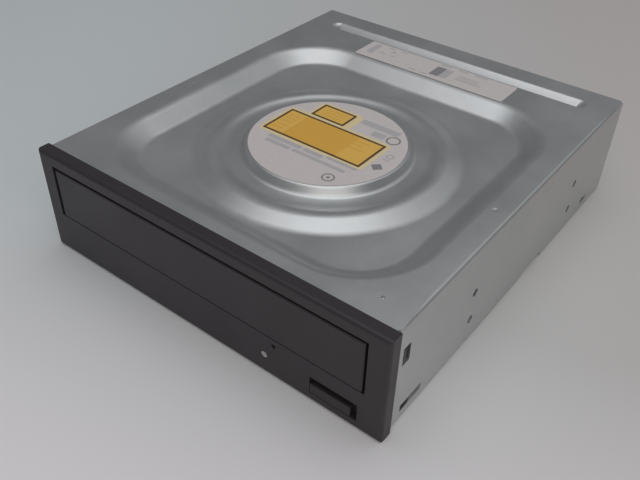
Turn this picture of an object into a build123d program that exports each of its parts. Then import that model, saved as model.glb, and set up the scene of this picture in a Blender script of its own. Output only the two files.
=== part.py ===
from build123d import *
from math import atan2, cos, degrees, pi, radians, sin, sqrt, tan
import os

os.makedirs("parts", exist_ok=True)

# An internal half-height optical disc writer. Millimetres, +X to the right seen from the front,
# +Y to the rear, +Z up. The origin is in the middle of the footprint, on the surface it rests on.

# Overall sizes
BODY_WIDTH = 146.0
BODY_HEIGHT = 41.3
BODY_DEPTH = 165.0
BEZEL_WIDTH = BODY_WIDTH + 2.0
BEZEL_HEIGHT = 42.0
BEZEL_DEPTH = 5.0
FRONT_Y = -(BODY_DEPTH + BEZEL_DEPTH) / 2
BODY_FRONT_Y = FRONT_Y + BEZEL_DEPTH
REAR_Y = (BODY_DEPTH + BEZEL_DEPTH) / 2

# Clearances
FIT = 0.1
SLIDE_FIT = 0.2
SPIN_FIT = 0.05
REACH = 5.0

# Disc axis, and the sizes of a disc
SPINDLE_SETBACK = 70.3
SPINDLE_Y = FRONT_Y + SPINDLE_SETBACK
DISC_R = 60.0
SMALL_DISC_R = 40.0
DISC_HOLE_R = 7.5

# Fixing holes of the standard form: four below and four on each side
MOUNT_SETBACK = 52.4
MOUNT_PITCH_Y = 79.25
MOUNT_PITCH_X = BODY_WIDTH - 6.3
MOUNT_LOW_Z = 10.0
MOUNT_PITCH_Z = 11.84
MOUNT_R = 1.5
COLLAR_R = 2.5
COLLAR_LENGTH = 1.4
MOUNT_YS = (FRONT_Y + MOUNT_SETBACK, FRONT_Y + MOUNT_SETBACK + MOUNT_PITCH_Y)
MOUNT_ZS = (MOUNT_LOW_Z, MOUNT_LOW_Z + MOUNT_PITCH_Z)

# Top cover: folded sheet with a pressed dish, a double ring for the clamper and a stiffening groove
COVER_T = 0.7
COVER_FOLD_R = 1.2
COVER_LIFT = 0.4
DISH_WIDTH = BODY_WIDTH - 20.4
DISH_SETBACK = 11.5
DISH_LENGTH = BODY_DEPTH - 39.7
DISH_CORNER_R = 28.0
DISH_SLOPE = 6.8
DISH_DROP = 4.9
PRESS_R = 1.5
PLATEAU_R = 29.9
PLATEAU_FOOT_R = 32.0
VALLEY_R = 33.2
VALLEY_DROP = 3.0
RING_R = 42.1
RING_DROP = 1.9
RING_FOOT_R = 49.0
GROOVE_SETBACK = BODY_DEPTH - 11.8
GROOVE_WIDTH = 7.0
GROOVE_LENGTH = BODY_WIDTH - 21.6
GROOVE_DROP = 1.9
GROOVE_FLOOR = 0.9

# Windows in the sides of the cover
HOOK_SETBACK = 8.9
HOOK_LENGTH = 3.7
HOOK_Z = 25.0
HOOK_HEIGHT = 7.0
FRONT_SLOT_SETBACK = 11.0
FRONT_SLOT_LENGTH = 12.0
FRONT_SLOT_Z = 3.3
FRONT_SLOT_HEIGHT = 2.6
REAR_SLOT_SETBACK = BODY_DEPTH - 18.0
REAR_SLOT_LENGTH = 6.5
REAR_SLOT_Z = 3.4
REAR_SLOT_HEIGHT = 2.3
NOTCH_SETBACK = BODY_DEPTH - 70.0
NOTCH_LENGTH = 15.0
NOTCH_Z = 2.0

# Bottom cover
PAN_T = 0.8
PAN_FOLD_R = 0.6
FLANGE_Z = 27.0
FLANGE_SETBACK = 17.0
REAR_WALL_STEP = 0.8
PAN_CORNER_SLIT = 0.3
CUP_R = 4.4
CUP_RISE = 0.9
PAN_BEAD_YS = (FRONT_Y + 55.0, FRONT_Y + 90.0, FRONT_Y + 125.0)
PAN_BEAD_LENGTH = 84.0
PAN_BEAD_WIDTH = 6.0
VENT_COUNT = 6
VENT_PITCH = 7.0
VENT_WIDTH = 2.4
VENT_HEIGHT = 9.0
VENT_X = 30.0
VENT_Z = 26.0

# Front bezel
BEZEL_WALL = 2.2
BEZEL_RIM = 1.8
BEZEL_EDGE_R = 1.4
MOUTH_HALF = BODY_WIDTH / 2 - 6.0
MOUTH_Z = 16.8
MOUTH_HEIGHT = 20.8
POCKET_X = BODY_WIDTH / 2 - 25.5
POCKET_WIDTH = 17.5
POCKET_Z = 3.5
POCKET_HEIGHT = 7.0
LIGHT_X = POCKET_X - 18.0
LIGHT_Z = 8.0
LIGHT_R = 1.2
LIGHT_REACH = 6.5
LIGHT_BODY_EXTRA = 0.4
RELEASE_X = LIGHT_X + 4.0
RELEASE_Z = 14.0
RELEASE_R = 0.75
TONGUE_T = 1.6
BARB_LAND = 1.0
TONGUE_SIDE_CLEAR = 0.25
BARB_OUT = 0.9
SOLE_TONGUE_X = 38.0
SOLE_TONGUE_WIDTH = 9.0
SOLE_WINDOW_SETBACK = 9.0
SOLE_WINDOW_LENGTH = 3.2

# Loader frame
DECK_Z = 14.0
DECK_T = 1.8
DECK_TOP = DECK_Z + DECK_T
WALL_T = 2.0
FRONT_WALL_T = 1.0
FRONT_SKIRT_Z = 3.0
FRAME_WALL_TOP = 33.2
FRAME_FOOT_Z = 1.2
WELL_HALF = 47.0
WELL_FRONT_Y = FRONT_Y + 39.6
WELL_REAR_Y = SPINDLE_Y + 90.2
FRAME_REAR_Y = REAR_Y - 3.0
RAIL_T = 1.6
LIP_T = 1.6
LIP_LENGTH = 16.0
LIP_YS = (FRONT_Y + 15.0, FRONT_Y + 47.0, FRONT_Y + 105.0)
COLUMN_X = BODY_WIDTH / 2 - 9.5
COLUMN_YS = (FRONT_Y + 27.0, REAR_Y - 14.5)
COLUMN_R = 3.4
COLUMN_HOLE_R = 1.0
SIDE_RELIEF_R = 3.6
RAIL_LAP = 0.6
LIP_CLEAR = 0.5
HOOK_ROOM = 4.0
GUIDE_XS = (-10.0, 30.0)
GUIDE_LENGTH = 6.0
GUIDE_T = 2.0
GUIDE_HEIGHT = 4.0

# Disc tray
TRAY_HALF = BODY_WIDTH / 2 - 8.0
TRAY_BODY_HALF = TRAY_HALF - 1.8
TRAY_TOP = 32.2
TRAY_FLOOR_Z = 26.6
TRAY_SKIN = 1.6
RECESS_Z = 29.4
SMALL_RECESS_Z = 28.2
RECESS_CLEAR = 0.6
TRAY_REAR_Y = REAR_Y - 11.0
RUNNER_Z = 25.0
RUNNER_HEIGHT = 3.0
RUNNER_WIDTH = 2.6
HUB_HOLE_R = 19.0
SLOT_HALF = 17.0
SLOT_REAR_Y = SPINDLE_Y + 70.7
TRAY_TRAVEL = 130.0
TRAY_CORNER_R = 4.8
CHANNEL_HALF = 19.0
REAR_RIB_SETBACK = 12.0
RIB_T = 1.4

# Tray door
DOOR_HALF = MOUTH_HALF - 1.0
DOOR_Z = 17.3
DOOR_HEIGHT = 19.1
DOOR_T = 2.4
DOOR_RECESS = 0.6
DOOR_EDGE_R = 0.6
DOOR_CLIP_XS = (-44.0, 0.0, 44.0)
DOOR_CLIP_WIDTH = 12.0
DOOR_CLIP = 6.0

# Gear train of the loader. The rack on the tray is driven by the small wheel of the drive gear.
RACK_MODULE = 1.0
RACK_WHEEL_TEETH = 16
TRAIN_MODULE = 0.8
WHEEL_TEETH = 30
PINION_TEETH = 14
PRESSURE_ANGLE = 20.0
TOOTH_ADDENDUM = 0.9
TOOTH_DEDENDUM = 1.25
BACKLASH = 0.24
RACK_X = 6.0 - TRAY_HALF
RACK_BACK = 3.0
RACK_END_CLEAR = 1.0
RACK_Z = 22.9
RACK_OVERRUN = 9.0
DRIVE_Y = FRONT_Y + 22.0
WHEEL_Z = 19.4
WHEEL_T = 2.9
DRIVE_TOP = 25.4
TRAIN_ANGLE = -8.0
PULLEY_Z = 16.3
PULLEY_T = 2.7
PULLEY_R = 10.4
PULLEY_GROOVE_R = 9.5
SMALL_PULLEY_R = 3.3
SMALL_GROOVE_R = 2.4
BELT_T = 1.1
POST_R = 2.0
BOSS_R = 3.6
MOTOR_X = 2.0
MOTOR_Y = FRONT_Y + 21.0
MOTOR_R = 12.2
MOTOR_BOTTOM = 1.7
MOTOR_NECK_R = 3.2
MOTOR_EDGE_R = 1.0
MOTOR_SCREW_R = 7.4
MOTOR_SCREW_DEPTH = 2.0
MOTOR_HOLE_DEPTH = 3.0
SHAFT_R = 1.0
SHAFT_DEPTH = 6.0
DRIVE_X = RACK_X + RACK_MODULE * RACK_WHEEL_TEETH / 2
TRAIN_REACH = TRAIN_MODULE * (WHEEL_TEETH + PINION_TEETH) / 2
PULLEY_X = DRIVE_X + TRAIN_REACH * cos(radians(TRAIN_ANGLE))
PULLEY_Y = DRIVE_Y + TRAIN_REACH * sin(radians(TRAIN_ANGLE))

# Traverse: hinged at its rear, let down at rest, so that the tray can pass over it
HINGE_Y = SPINDLE_Y + 82.7
HINGE_Z = 16.0
LIFT_ANGLE = 4.5
TRAVERSE = Plane(
    origin=(0, HINGE_Y, HINGE_Z),
    x_dir=(1, 0, 0),
    z_dir=(0, -sin(radians(LIFT_ANGLE)), cos(radians(LIFT_ANGLE))),
)
TRAVERSE_AXIS = Axis(TRAVERSE.origin, TRAVERSE.z_dir)
SPINDLE_ARM = HINGE_Y - SPINDLE_Y
LIFT_HALF = 44.5
LIFT_FRONT = 110.0
LIFT_REAR = 4.5
LIFT_BOTTOM = -0.4
LIFT_T = 3.4
LIFT_RIM = 5.5
LIFT_WELL_HALF = 39.5
LIFT_WELL_FRONT = 105.0
LIFT_WELL_REAR = 3.0
HINGE_PIN_R = 2.5
HINGE_PIN_END = 50.8
HINGE_PAD = 4.0
SOCKET_X = 47.3
SOCKET_HALF = 4.4
FOLLOWER_X = 25.0
FOLLOWER_R = 1.6
FOLLOWER_H = 1.6
FOLLOWER_LENGTH = 2.9
EAR_SIZE = 9.0
EAR_TOP = 0.8
GROMMET_X = 33.5
GROMMET_YS = (-100.0, -8.0)
GROMMET_R = 3.4
GROMMET_T = 1.5
GROMMET_HOLE_R = 1.3
PLATE_T = 1.2
PLATE_HALF = 37.8
PLATE_FRONT = 103.5
PLATE_REAR = 4.6
PLATE_CORNER_R = 3.6
PICKUP_WELL_HALF = 21.0
PICKUP_WELL_FRONT = 66.0
PICKUP_OVERHANG = 3.3

# Disc motor and turntable, as heights above the hinge axis
DISC_REST_H = 15.0
PAD_T = 0.3
TABLE_T = 2.6
TABLE_R = 15.0
CAN_R = 12.8
CAN_T = 4.0
SPIGOT_R = DISC_HOLE_R - 0.15
SPIGOT_CHAMFER = 1.0
SPIGOT_H = 2.2
STATOR_R = 11.5
STATOR_CLEAR = 0.4
STATOR_FOOT = 2.0
STATOR_FOOT_T = 1.0
BEARING_RISE = 1.0
CAN_WALL = 1.0
PAD_EDGE = 0.4
PAD_WIDTH = 3.0
SPINDLE_R = 1.25

# Pickup sled, guide rods and lead screw, as heights above the hinge axis
ROD_X = 27.0
ROD_R = 1.5
ROD_H = 7.0
ROD_FRONT = 75.0
ROD_REAR = 5.0
ROD_POST_WIDTH = 5.4
ROD_POST_LENGTH = 4.0
PICKUP_START = 23.0
PICKUP_TRAVEL = 35.0
PICKUP_HALF = 20.0
PICKUP_FRONT = 9.0
PICKUP_LENGTH = 28.0
PICKUP_BOTTOM_H = 4.0
PICKUP_TOP_H = 10.0
PICKUP_CORNER_R = 3.0
PICKUP_EAR_WIDTH = 6.0
PICKUP_EAR_LENGTH = 7.0
COVER_PLATE_HALF = 12.0
COVER_PLATE_FRONT = 7.0
COVER_PLATE_LENGTH = 17.0
COVER_PLATE_TOP_H = 12.6
COVER_PLATE_CORNER_R = 2.0
LENS_R = 2.4
LENS_TOP_H = 13.6
LENS_EDGE_R = 0.8
LENS_WELL = 2.0
SCREW_X = 34.2
SCREW_H = 7.6
SCREW_R = 1.4
SCREW_FRONT = 68.0
SCREW_GRIP = 5.0
SLED_MOTOR_R = 4.0
SLED_MOTOR_LENGTH = 12.0
SLED_MOTOR_FRONT = 23.4
SLED_MOTOR_FOOT = 3.0
NUT_CLEAR = 0.3
NUT_DROP = 1.0
NUT_RISE = 2.0

# Cam slider that lifts the front of the traverse
SLIDER_TRAVEL = 12.0
SLIDER_T = 2.4
SLIDER_Y = FRONT_Y + 40.0
SLIDER_X0 = -46.0
SLIDER_X1 = 32.0
SLIDER_Z0 = 5.6
SLIDER_Z1 = 22.0
SLIDER_FLANGE = 5.0
SLIDER_FLANGE_T = 1.6
CAM_CLEAR = 0.3
CAM_DWELL = 2.0

# Clamp
BRIDGE_T = 1.6
BRIDGE_WIDTH = 34.0
BRIDGE_HALF = BODY_WIDTH / 2 - 2.4
BRIDGE_WAIST = 22.0
BRIDGE_PAD = 7.0
BRIDGE_CORNER_R = 2.0
BRIDGE_RING_R = 21.0
BRIDGE_RIB_H = 0.6
BRIDGE_SCREW_X = BODY_WIDTH / 2 - 6.0
BRIDGE_SCREW_R = 1.9
CLAMPER_HOLE_R = 13.4
CLAMPER_SKIRT_R = 12.8
CLAMPER_FLANGE_R = 16.2
CLAMPER_BOTTOM = 32.7
CLAMPER_WALL = 1.5
CLAMPER_HUB_CLEAR = 1.0
MAGNET_R = 9.0
MAGNET_T = 1.8
YOKE_R = 10.4
YOKE_T = 0.5

# Eject button and its switch
BUTTON_TRAVEL = 1.0
BUTTON_CLEAR = 0.25
BUTTON_PROUD = 0.4
BUTTON_SCOOP = 2.2
BUTTON_LAND = 2.0
BUTTON_FLANGE = 1.0
BUTTON_FLANGE_T = 0.8
STEM_WIDTH = 3.6
STEM_HEIGHT = 3.0
STEM_Z = 5.0
STEM_LENGTH = 3.3
SWITCH_WIDTH = 6.0
SWITCH_DEPTH = 4.0
SWITCH_HEIGHT = 4.4
PLUNGER_R = 0.9
PLUNGER_LENGTH = 1.2

# Circuit boards
BOARD_T = 1.2
FRONT_BOARD_Z = 2.6
FRONT_BOARD_X0 = POCKET_X - 25.5
FRONT_BOARD_X1 = POCKET_X + 18.5
FRONT_BOARD_Y0 = FRONT_Y + 5.8
FRONT_BOARD_Y1 = FRONT_Y + 21.0
FRONT_BOARD_HOLE_XS = (FRONT_BOARD_X0 + 5.0, FRONT_BOARD_X1 - 5.0)
FRONT_BOARD_HOLE_Y = FRONT_BOARD_Y1 - 3.0
FRONT_BOARD_CLEAR = 4.0
MAIN_BOARD_Z = 3.6
MAIN_BOARD_HALF = BODY_WIDTH / 2 - 14.5
MAIN_BOARD_Y0 = FRONT_Y + 56.0
MAIN_BOARD_Y1 = REAR_Y - 1.8
BOARD_BOSS_X = MAIN_BOARD_HALF - 4.0
BOARD_BOSS_YS = (MAIN_BOARD_Y0 + 6.0, MAIN_BOARD_Y1 - 21.2)
BOARD_BOSS_R = 2.8
RIBBON_WIDTH = 12.0
RIBBON_T = 0.3
RIBBON_X = FRONT_BOARD_X0 + 18.0
RIBBON_GRIP = 3.0
RIBBON_LEVEL = 4.0
RIBBON_SLOPE = 4.0
RIBBON_BEND_R = 1.5
CONTROLLER_SPOT = (-28.0, -8.0, MAIN_BOARD_Y0 + 21.0, MAIN_BOARD_Y0 + 41.0)
CONTROLLER_T = 1.4
DRIVER_SPOT = (16.0, 30.0, MAIN_BOARD_Y0 + 17.0, MAIN_BOARD_Y0 + 31.0)
DRIVER_T = 1.2
MEMORY_SPOT = (-22.0, -10.0, MAIN_BOARD_Y0 + 51.0, MAIN_BOARD_Y0 + 59.0)
MEMORY_T = 1.0
RIBBON_SOCKET_XS = (-2.0, 24.0)
RIBBON_SOCKET_Y = MAIN_BOARD_Y0 + 63.0
RIBBON_SOCKET_WIDTH = 18.0
RIBBON_SOCKET_DEPTH = 4.0
RIBBON_SOCKET_HEIGHT = 2.0
CAPACITOR_SPOTS = (
    (10.0, MAIN_BOARD_Y1 - 21.2),
    (20.0, MAIN_BOARD_Y1 - 21.2),
    (36.0, MAIN_BOARD_Y1 - 13.2),
)
CAPACITOR_R = 3.2
CAPACITOR_HEIGHT = 5.4

# Socket for power and data
SOCKET_CENTRE_X = 22.5 - MAIN_BOARD_HALF
SOCKET_WIDTH = 42.0
SOCKET_HEIGHT = 6.4
SOCKET_DEPTH = 11.0
CAVITY_DEPTH = 7.0
CAVITY_HEIGHT = 4.8
POWER_WIDTH = 22.4
DATA_WIDTH = 11.6
CAVITY_PART = 3.4
TONGUE_HEIGHT = 1.3
TONGUE_SETBACK = 0.8
TONGUE_SIDE = 1.0
KEY_SIZE = 1.0
POWER_PINS = 15
DATA_PINS = 7
PIN_PITCH = 1.27
PIN_WIDTH = 0.8
PIN_LENGTH = 5.2
PIN_T = 0.12

# Labels
LABEL_R = 28.9
LABEL_T = 0.1
REAR_LABEL_SETBACK = BODY_DEPTH - 27.5
REAR_LABEL_LENGTH = 15.3
REAR_LABEL_X0 = -36.1
REAR_LABEL_X1 = 35.0
REAR_LABEL_CORNER_R = 1.0

# Screws
SCREW_HEAD_R = 2.4
SMALL_HEAD_R = 1.8
BOARD_HEAD_R = 1.6
SCREW_HEAD_T = 0.7
SCREW_SHANK_LENGTH = 6.0


def block(x0, x1, y0, y1, z0, z1, mode=Mode.ADD):
    """A block between six faces, added to or cut from the piece being built."""
    with Locations(((x0 + x1) / 2, (y0 + y1) / 2, (z0 + z1) / 2)):
        Box(x1 - x0, y1 - y0, z1 - z0, mode=mode)


def post(x, y, r, z0, z1, mode=Mode.ADD):
    """An upright round post, or a hole, from height z0 to z1."""
    with Locations((x, y, (z0 + z1) / 2)):
        Cylinder(r, z1 - z0, mode=mode)


def bar_y(x, z, r, y0, y1, mode=Mode.ADD):
    """A round bar, or a bore, that runs from front to rear."""
    with Locations(Location((x, (y0 + y1) / 2, z), (90, 0, 0))):
        Cylinder(r, y1 - y0, mode=mode)


def bar_x(y, z, r, x0, x1, mode=Mode.ADD):
    """A round bar, or a bore, that runs from side to side."""
    with Locations(Location(((x0 + x1) / 2, y, z), (0, 90, 0))):
        Cylinder(r, x1 - x0, mode=mode)


def save(piece, label):
    """Names a finished piece and writes it to its own file."""
    piece.part.label = label
    export_step(piece.part, f"parts/{label}.step")


def involute(angle):
    """The involute of a pressure angle in radians."""
    return tan(angle) - angle


def gear_points(module, teeth, phase):
    """The outline of a spur gear: root, two points on each flank, and tip, all round."""
    pitch_r = module * teeth / 2
    base_r = pitch_r * cos(radians(PRESSURE_ANGLE))
    tip_r = pitch_r + module * TOOTH_ADDENDUM
    root_r = pitch_r - module * TOOTH_DEDENDUM
    half_tooth = (pi * module / 2 - BACKLASH) / 2 / pitch_r + involute(radians(PRESSURE_ANGLE))
    radii = (root_r, max(base_r, root_r), pitch_r, tip_r)
    points = []
    for tooth in range(teeth):
        centre = radians(phase) + 2 * pi * tooth / teeth
        flank = []
        for r in radii:
            roll = sqrt(max((r / base_r) ** 2 - 1, 0))
            flank.append((r, half_tooth - (roll - atan2(roll, 1))))
        points += [(r * cos(centre - a), r * sin(centre - a)) for r, a in flank]
        points += [(r * cos(centre + a), r * sin(centre + a)) for r, a in reversed(flank)]
    return points


def pressed_form(drop):
    """The outside of the top cover as a solid, or its inside when drop is the sheet's thickness."""
    top = BODY_HEIGHT - drop
    half = BODY_WIDTH / 2 - drop
    bottom = COVER_LIFT if drop == 0 else -REACH
    overrun = 0 if drop == 0 else REACH
    dish_y = FRONT_Y + DISH_SETBACK + DISH_LENGTH / 2
    groove_y = FRONT_Y + GROOVE_SETBACK + GROOVE_WIDTH / 2
    with BuildPart() as form:
        with BuildSketch(Plane.XZ.offset(-BODY_FRONT_Y + overrun)):
            with Locations((0, (top + bottom) / 2)):
                Rectangle(2 * half, top - bottom)
        extrude(amount=-(BODY_DEPTH + 2 * overrun))
        folds = form.edges().filter_by(Axis.Y).group_by(Axis.Z)[-1]
        fillet(folds, COVER_FOLD_R - drop)
        with BuildSketch(Plane((0, dish_y, top))):
            RectangleRounded(DISH_WIDTH, DISH_LENGTH, DISH_CORNER_R)
        with BuildSketch(Plane((0, dish_y, top - DISH_DROP))):
            RectangleRounded(
                DISH_WIDTH - 2 * DISH_SLOPE, DISH_LENGTH - 2 * DISH_SLOPE, DISH_CORNER_R - DISH_SLOPE
            )
        loft(ruled=True, mode=Mode.SUBTRACT)
        rims = form.edges().filter_by(lambda e: abs(e.center().X) < DISH_WIDTH / 2 + FIT)
        rims = rims.filter_by(lambda e: e.bounding_box().size.Z < FIT)
        crest = rims.filter_by(lambda e: abs(e.center().Z - top) < FIT and e.length < DISH_LENGTH)
        foot = rims.filter_by(lambda e: abs(e.center().Z - top + DISH_DROP) < FIT)
        fillet(crest, PRESS_R)
        fillet(foot, PRESS_R)
        with BuildSketch(Plane((0, SPINDLE_Y, top), x_dir=(1, 0, 0), z_dir=(0, -1, 0))):
            with BuildLine():
                Polyline(
                    (0, -DISH_DROP - REACH), (RING_FOOT_R, -DISH_DROP - REACH), (RING_FOOT_R, -DISH_DROP),
                    (RING_R, -RING_DROP), (VALLEY_R, -VALLEY_DROP), (PLATEAU_FOOT_R, -VALLEY_DROP),
                    (PLATEAU_R, 0), (0, 0), close=True,
                )
            ring = make_face()
            bends = ring.vertices().filter_by(lambda v: PLATEAU_R - 1 < v.X < RING_FOOT_R - 1)
            fillet(bends.filter_by(lambda v: v.X > VALLEY_R + 1), PRESS_R)
            fillet(bends.filter_by(lambda v: v.X < VALLEY_R - 2), PRESS_R / 2)
        revolve(axis=Axis((0, SPINDLE_Y, 0), (0, 0, 1)))
        with BuildSketch(Plane((0, groove_y, top))):
            SlotOverall(GROOVE_LENGTH, GROOVE_WIDTH)
        with BuildSketch(Plane((0, groove_y, top - GROOVE_DROP))):
            SlotOverall(GROOVE_LENGTH - GROOVE_WIDTH + GROOVE_FLOOR, GROOVE_FLOOR)
        loft(ruled=True, mode=Mode.SUBTRACT)
    return form.part


# Top cover
with BuildPart() as top_cover:
    add(pressed_form(0))
    add(pressed_form(COVER_T), mode=Mode.SUBTRACT)
    for side in (-1, 1):
        x0, x1 = sorted((side * (BODY_WIDTH / 2 - REACH), side * (BODY_WIDTH / 2 + REACH)))
        for setback, length, z0, height in (
            (HOOK_SETBACK, HOOK_LENGTH, HOOK_Z, HOOK_HEIGHT),
            (FRONT_SLOT_SETBACK, FRONT_SLOT_LENGTH, FRONT_SLOT_Z, FRONT_SLOT_HEIGHT),
            (REAR_SLOT_SETBACK, REAR_SLOT_LENGTH, REAR_SLOT_Z, REAR_SLOT_HEIGHT),
            (NOTCH_SETBACK, NOTCH_LENGTH, -REACH, NOTCH_Z + REACH),
        ):
            y0 = FRONT_Y + setback
            block(x0, x1, y0, y0 + length, z0, z0 + height, Mode.SUBTRACT)
        for y in MOUNT_YS:
            for z in MOUNT_ZS:
                bar_x(y, z, MOUNT_R, x0, x1, Mode.SUBTRACT)
save(top_cover, "top_cover")

# Bottom cover: floor, side flanges with tapped collars, and the rear wall
PAN_HALF = BODY_WIDTH / 2 - COVER_T - FIT
PAN_INNER = PAN_HALF - PAN_T
REAR_WALL_Y = REAR_Y - REAR_WALL_STEP
with BuildPart() as bottom_cover:
    block(-PAN_HALF, PAN_HALF, BODY_FRONT_Y, REAR_WALL_Y, 0, PAN_T)
    for side in (-1, 1):
        x0, x1 = sorted((side * PAN_INNER, side * PAN_HALF))
        block(x0, x1, FRONT_Y + FLANGE_SETBACK, REAR_WALL_Y, 0, FLANGE_Z)
    slit_x = PAN_INNER - PAN_CORNER_SLIT
    block(-slit_x, slit_x, REAR_WALL_Y - PAN_T, REAR_WALL_Y, 0, BODY_HEIGHT - COVER_T - FIT)
    folds = bottom_cover.edges().filter_by(Axis.Y).group_by(Axis.Z)[0]
    fillet(folds.filter_by(lambda e: abs(e.center().X) > PAN_HALF - FIT), PAN_FOLD_R)
    with Locations(*[(0, y, PAN_T) for y in PAN_BEAD_YS]):
        Box(PAN_BEAD_LENGTH, PAN_BEAD_WIDTH, 2 * PAN_T)
    with Locations(*[(0, y, 0) for y in PAN_BEAD_YS]):
        Box(PAN_BEAD_LENGTH - 2 * PAN_T, PAN_BEAD_WIDTH - 2 * PAN_T, 2 * PAN_T, mode=Mode.SUBTRACT)
    for x in (-COLUMN_X, COLUMN_X):
        for y in COLUMN_YS:
            post(x, y, CUP_R, 0, PAN_T + CUP_RISE)
            post(x, y, CUP_R - PAN_T, -REACH, CUP_RISE, Mode.SUBTRACT)
            post(x, y, MOUNT_R, -REACH, REACH, Mode.SUBTRACT)
    for side in (-1, 1):
        inner, outer = side * (PAN_INNER - COLLAR_LENGTH), side * PAN_INNER
        x0, x1 = sorted((inner, outer))
        for y in MOUNT_YS:
            for z in MOUNT_ZS:
                bar_x(y, z, COLLAR_R, x0, x1)
                bar_x(y, z, MOUNT_R, x0 - REACH, x1 + REACH, Mode.SUBTRACT)
            post(side * MOUNT_PITCH_X / 2, y, MOUNT_R, -REACH, REACH, Mode.SUBTRACT)
    for x in (-SOLE_TONGUE_X, SOLE_TONGUE_X):
        half = SOLE_TONGUE_WIDTH / 2 + FIT
        y0 = FRONT_Y + SOLE_WINDOW_SETBACK
        block(x - half, x + half, y0, y0 + SOLE_WINDOW_LENGTH, -REACH, REACH, Mode.SUBTRACT)
    half = SOCKET_WIDTH / 2 + FIT
    socket_z = MAIN_BOARD_Z + BOARD_T
    block(
        SOCKET_CENTRE_X - half, SOCKET_CENTRE_X + half, REAR_WALL_Y - REACH, REAR_WALL_Y + REACH,
        socket_z - FIT, socket_z + SOCKET_HEIGHT + FIT, Mode.SUBTRACT,
    )
    with BuildSketch(Plane.XZ.offset(-REAR_WALL_Y - REACH)):
        with Locations((VENT_X, VENT_Z)):
            with GridLocations(VENT_PITCH, 0, VENT_COUNT, 1):
                SlotOverall(VENT_HEIGHT, VENT_WIDTH, rotation=90)
    extrude(amount=2 * REACH, mode=Mode.SUBTRACT)
save(bottom_cover, "bottom_cover")

# Front bezel: a shallow moulded tray with the mouth of the tray and four snap tongues
BEZEL_BACK_Y = FRONT_Y + BEZEL_WALL
MOUTH_TOP = MOUTH_Z + MOUTH_HEIGHT
with BuildPart() as front_bezel:
    block(-BEZEL_WIDTH / 2, BEZEL_WIDTH / 2, FRONT_Y, BODY_FRONT_Y, 0, BEZEL_HEIGHT)
    fillet(front_bezel.edges().group_by(Axis.Y)[0], BEZEL_EDGE_R)
    half = BEZEL_WIDTH / 2 - BEZEL_RIM
    block(-half, half, BEZEL_BACK_Y, BODY_FRONT_Y, BEZEL_RIM, BEZEL_HEIGHT - BEZEL_RIM, Mode.SUBTRACT)
    block(-MOUTH_HALF, MOUTH_HALF, FRONT_Y, BODY_FRONT_Y, MOUTH_Z, MOUTH_TOP, Mode.SUBTRACT)
    block(
        POCKET_X, POCKET_X + POCKET_WIDTH, FRONT_Y, BODY_FRONT_Y, POCKET_Z, POCKET_Z + POCKET_HEIGHT,
        Mode.SUBTRACT,
    )
    bar_y(LIGHT_X, LIGHT_Z, LIGHT_R, FRONT_Y, BEZEL_BACK_Y, Mode.SUBTRACT)
    bar_y(RELEASE_X, RELEASE_Z, RELEASE_R, FRONT_Y, BEZEL_BACK_Y, Mode.SUBTRACT)
    tongue_out = BODY_WIDTH / 2 - COVER_T - FIT
    hook_y0 = FRONT_Y + HOOK_SETBACK + FIT
    hook_y1 = FRONT_Y + HOOK_SETBACK + HOOK_LENGTH - FIT
    for side in (-1, 1):
        x0, x1 = sorted((side * (tongue_out - TONGUE_T), side * tongue_out))
        z0 = HOOK_Z + TONGUE_SIDE_CLEAR
        z1 = HOOK_Z + HOOK_HEIGHT - TONGUE_SIDE_CLEAR
        block(x0, x1, BEZEL_BACK_Y, hook_y1 + BARB_LAND, z0, z1)
        x0, x1 = sorted((side * tongue_out, side * (tongue_out + BARB_OUT)))
        with BuildSketch(Plane.XY.offset(z0)):
            with BuildLine():
                Polyline(
                    (side * tongue_out, hook_y0), (side * (tongue_out + BARB_OUT), hook_y0),
                    (side * (tongue_out + BARB_OUT), hook_y0 + BARB_LAND), (side * tongue_out, hook_y1),
                    close=True,
                )
            make_face()
        extrude(amount=z1 - z0)
    for x in (-SOLE_TONGUE_X, SOLE_TONGUE_X):
        x0, x1 = x - SOLE_TONGUE_WIDTH / 2, x + SOLE_TONGUE_WIDTH / 2
        y0 = FRONT_Y + SOLE_WINDOW_SETBACK + FIT
        y1 = y0 + SOLE_WINDOW_LENGTH - 2 * FIT
        block(x0, x1, BEZEL_BACK_Y, y1, PAN_T + FIT, PAN_T + FIT + TONGUE_T)
        with BuildSketch(Plane.YZ.offset(x0)):
            with BuildLine():
                Polyline((y0, PAN_T + FIT), (y0, FIT), (y0 + BARB_LAND, FIT), (y1, PAN_T + FIT), close=True)
            make_face()
        extrude(amount=x1 - x0)
save(front_bezel, "front_bezel")

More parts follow.
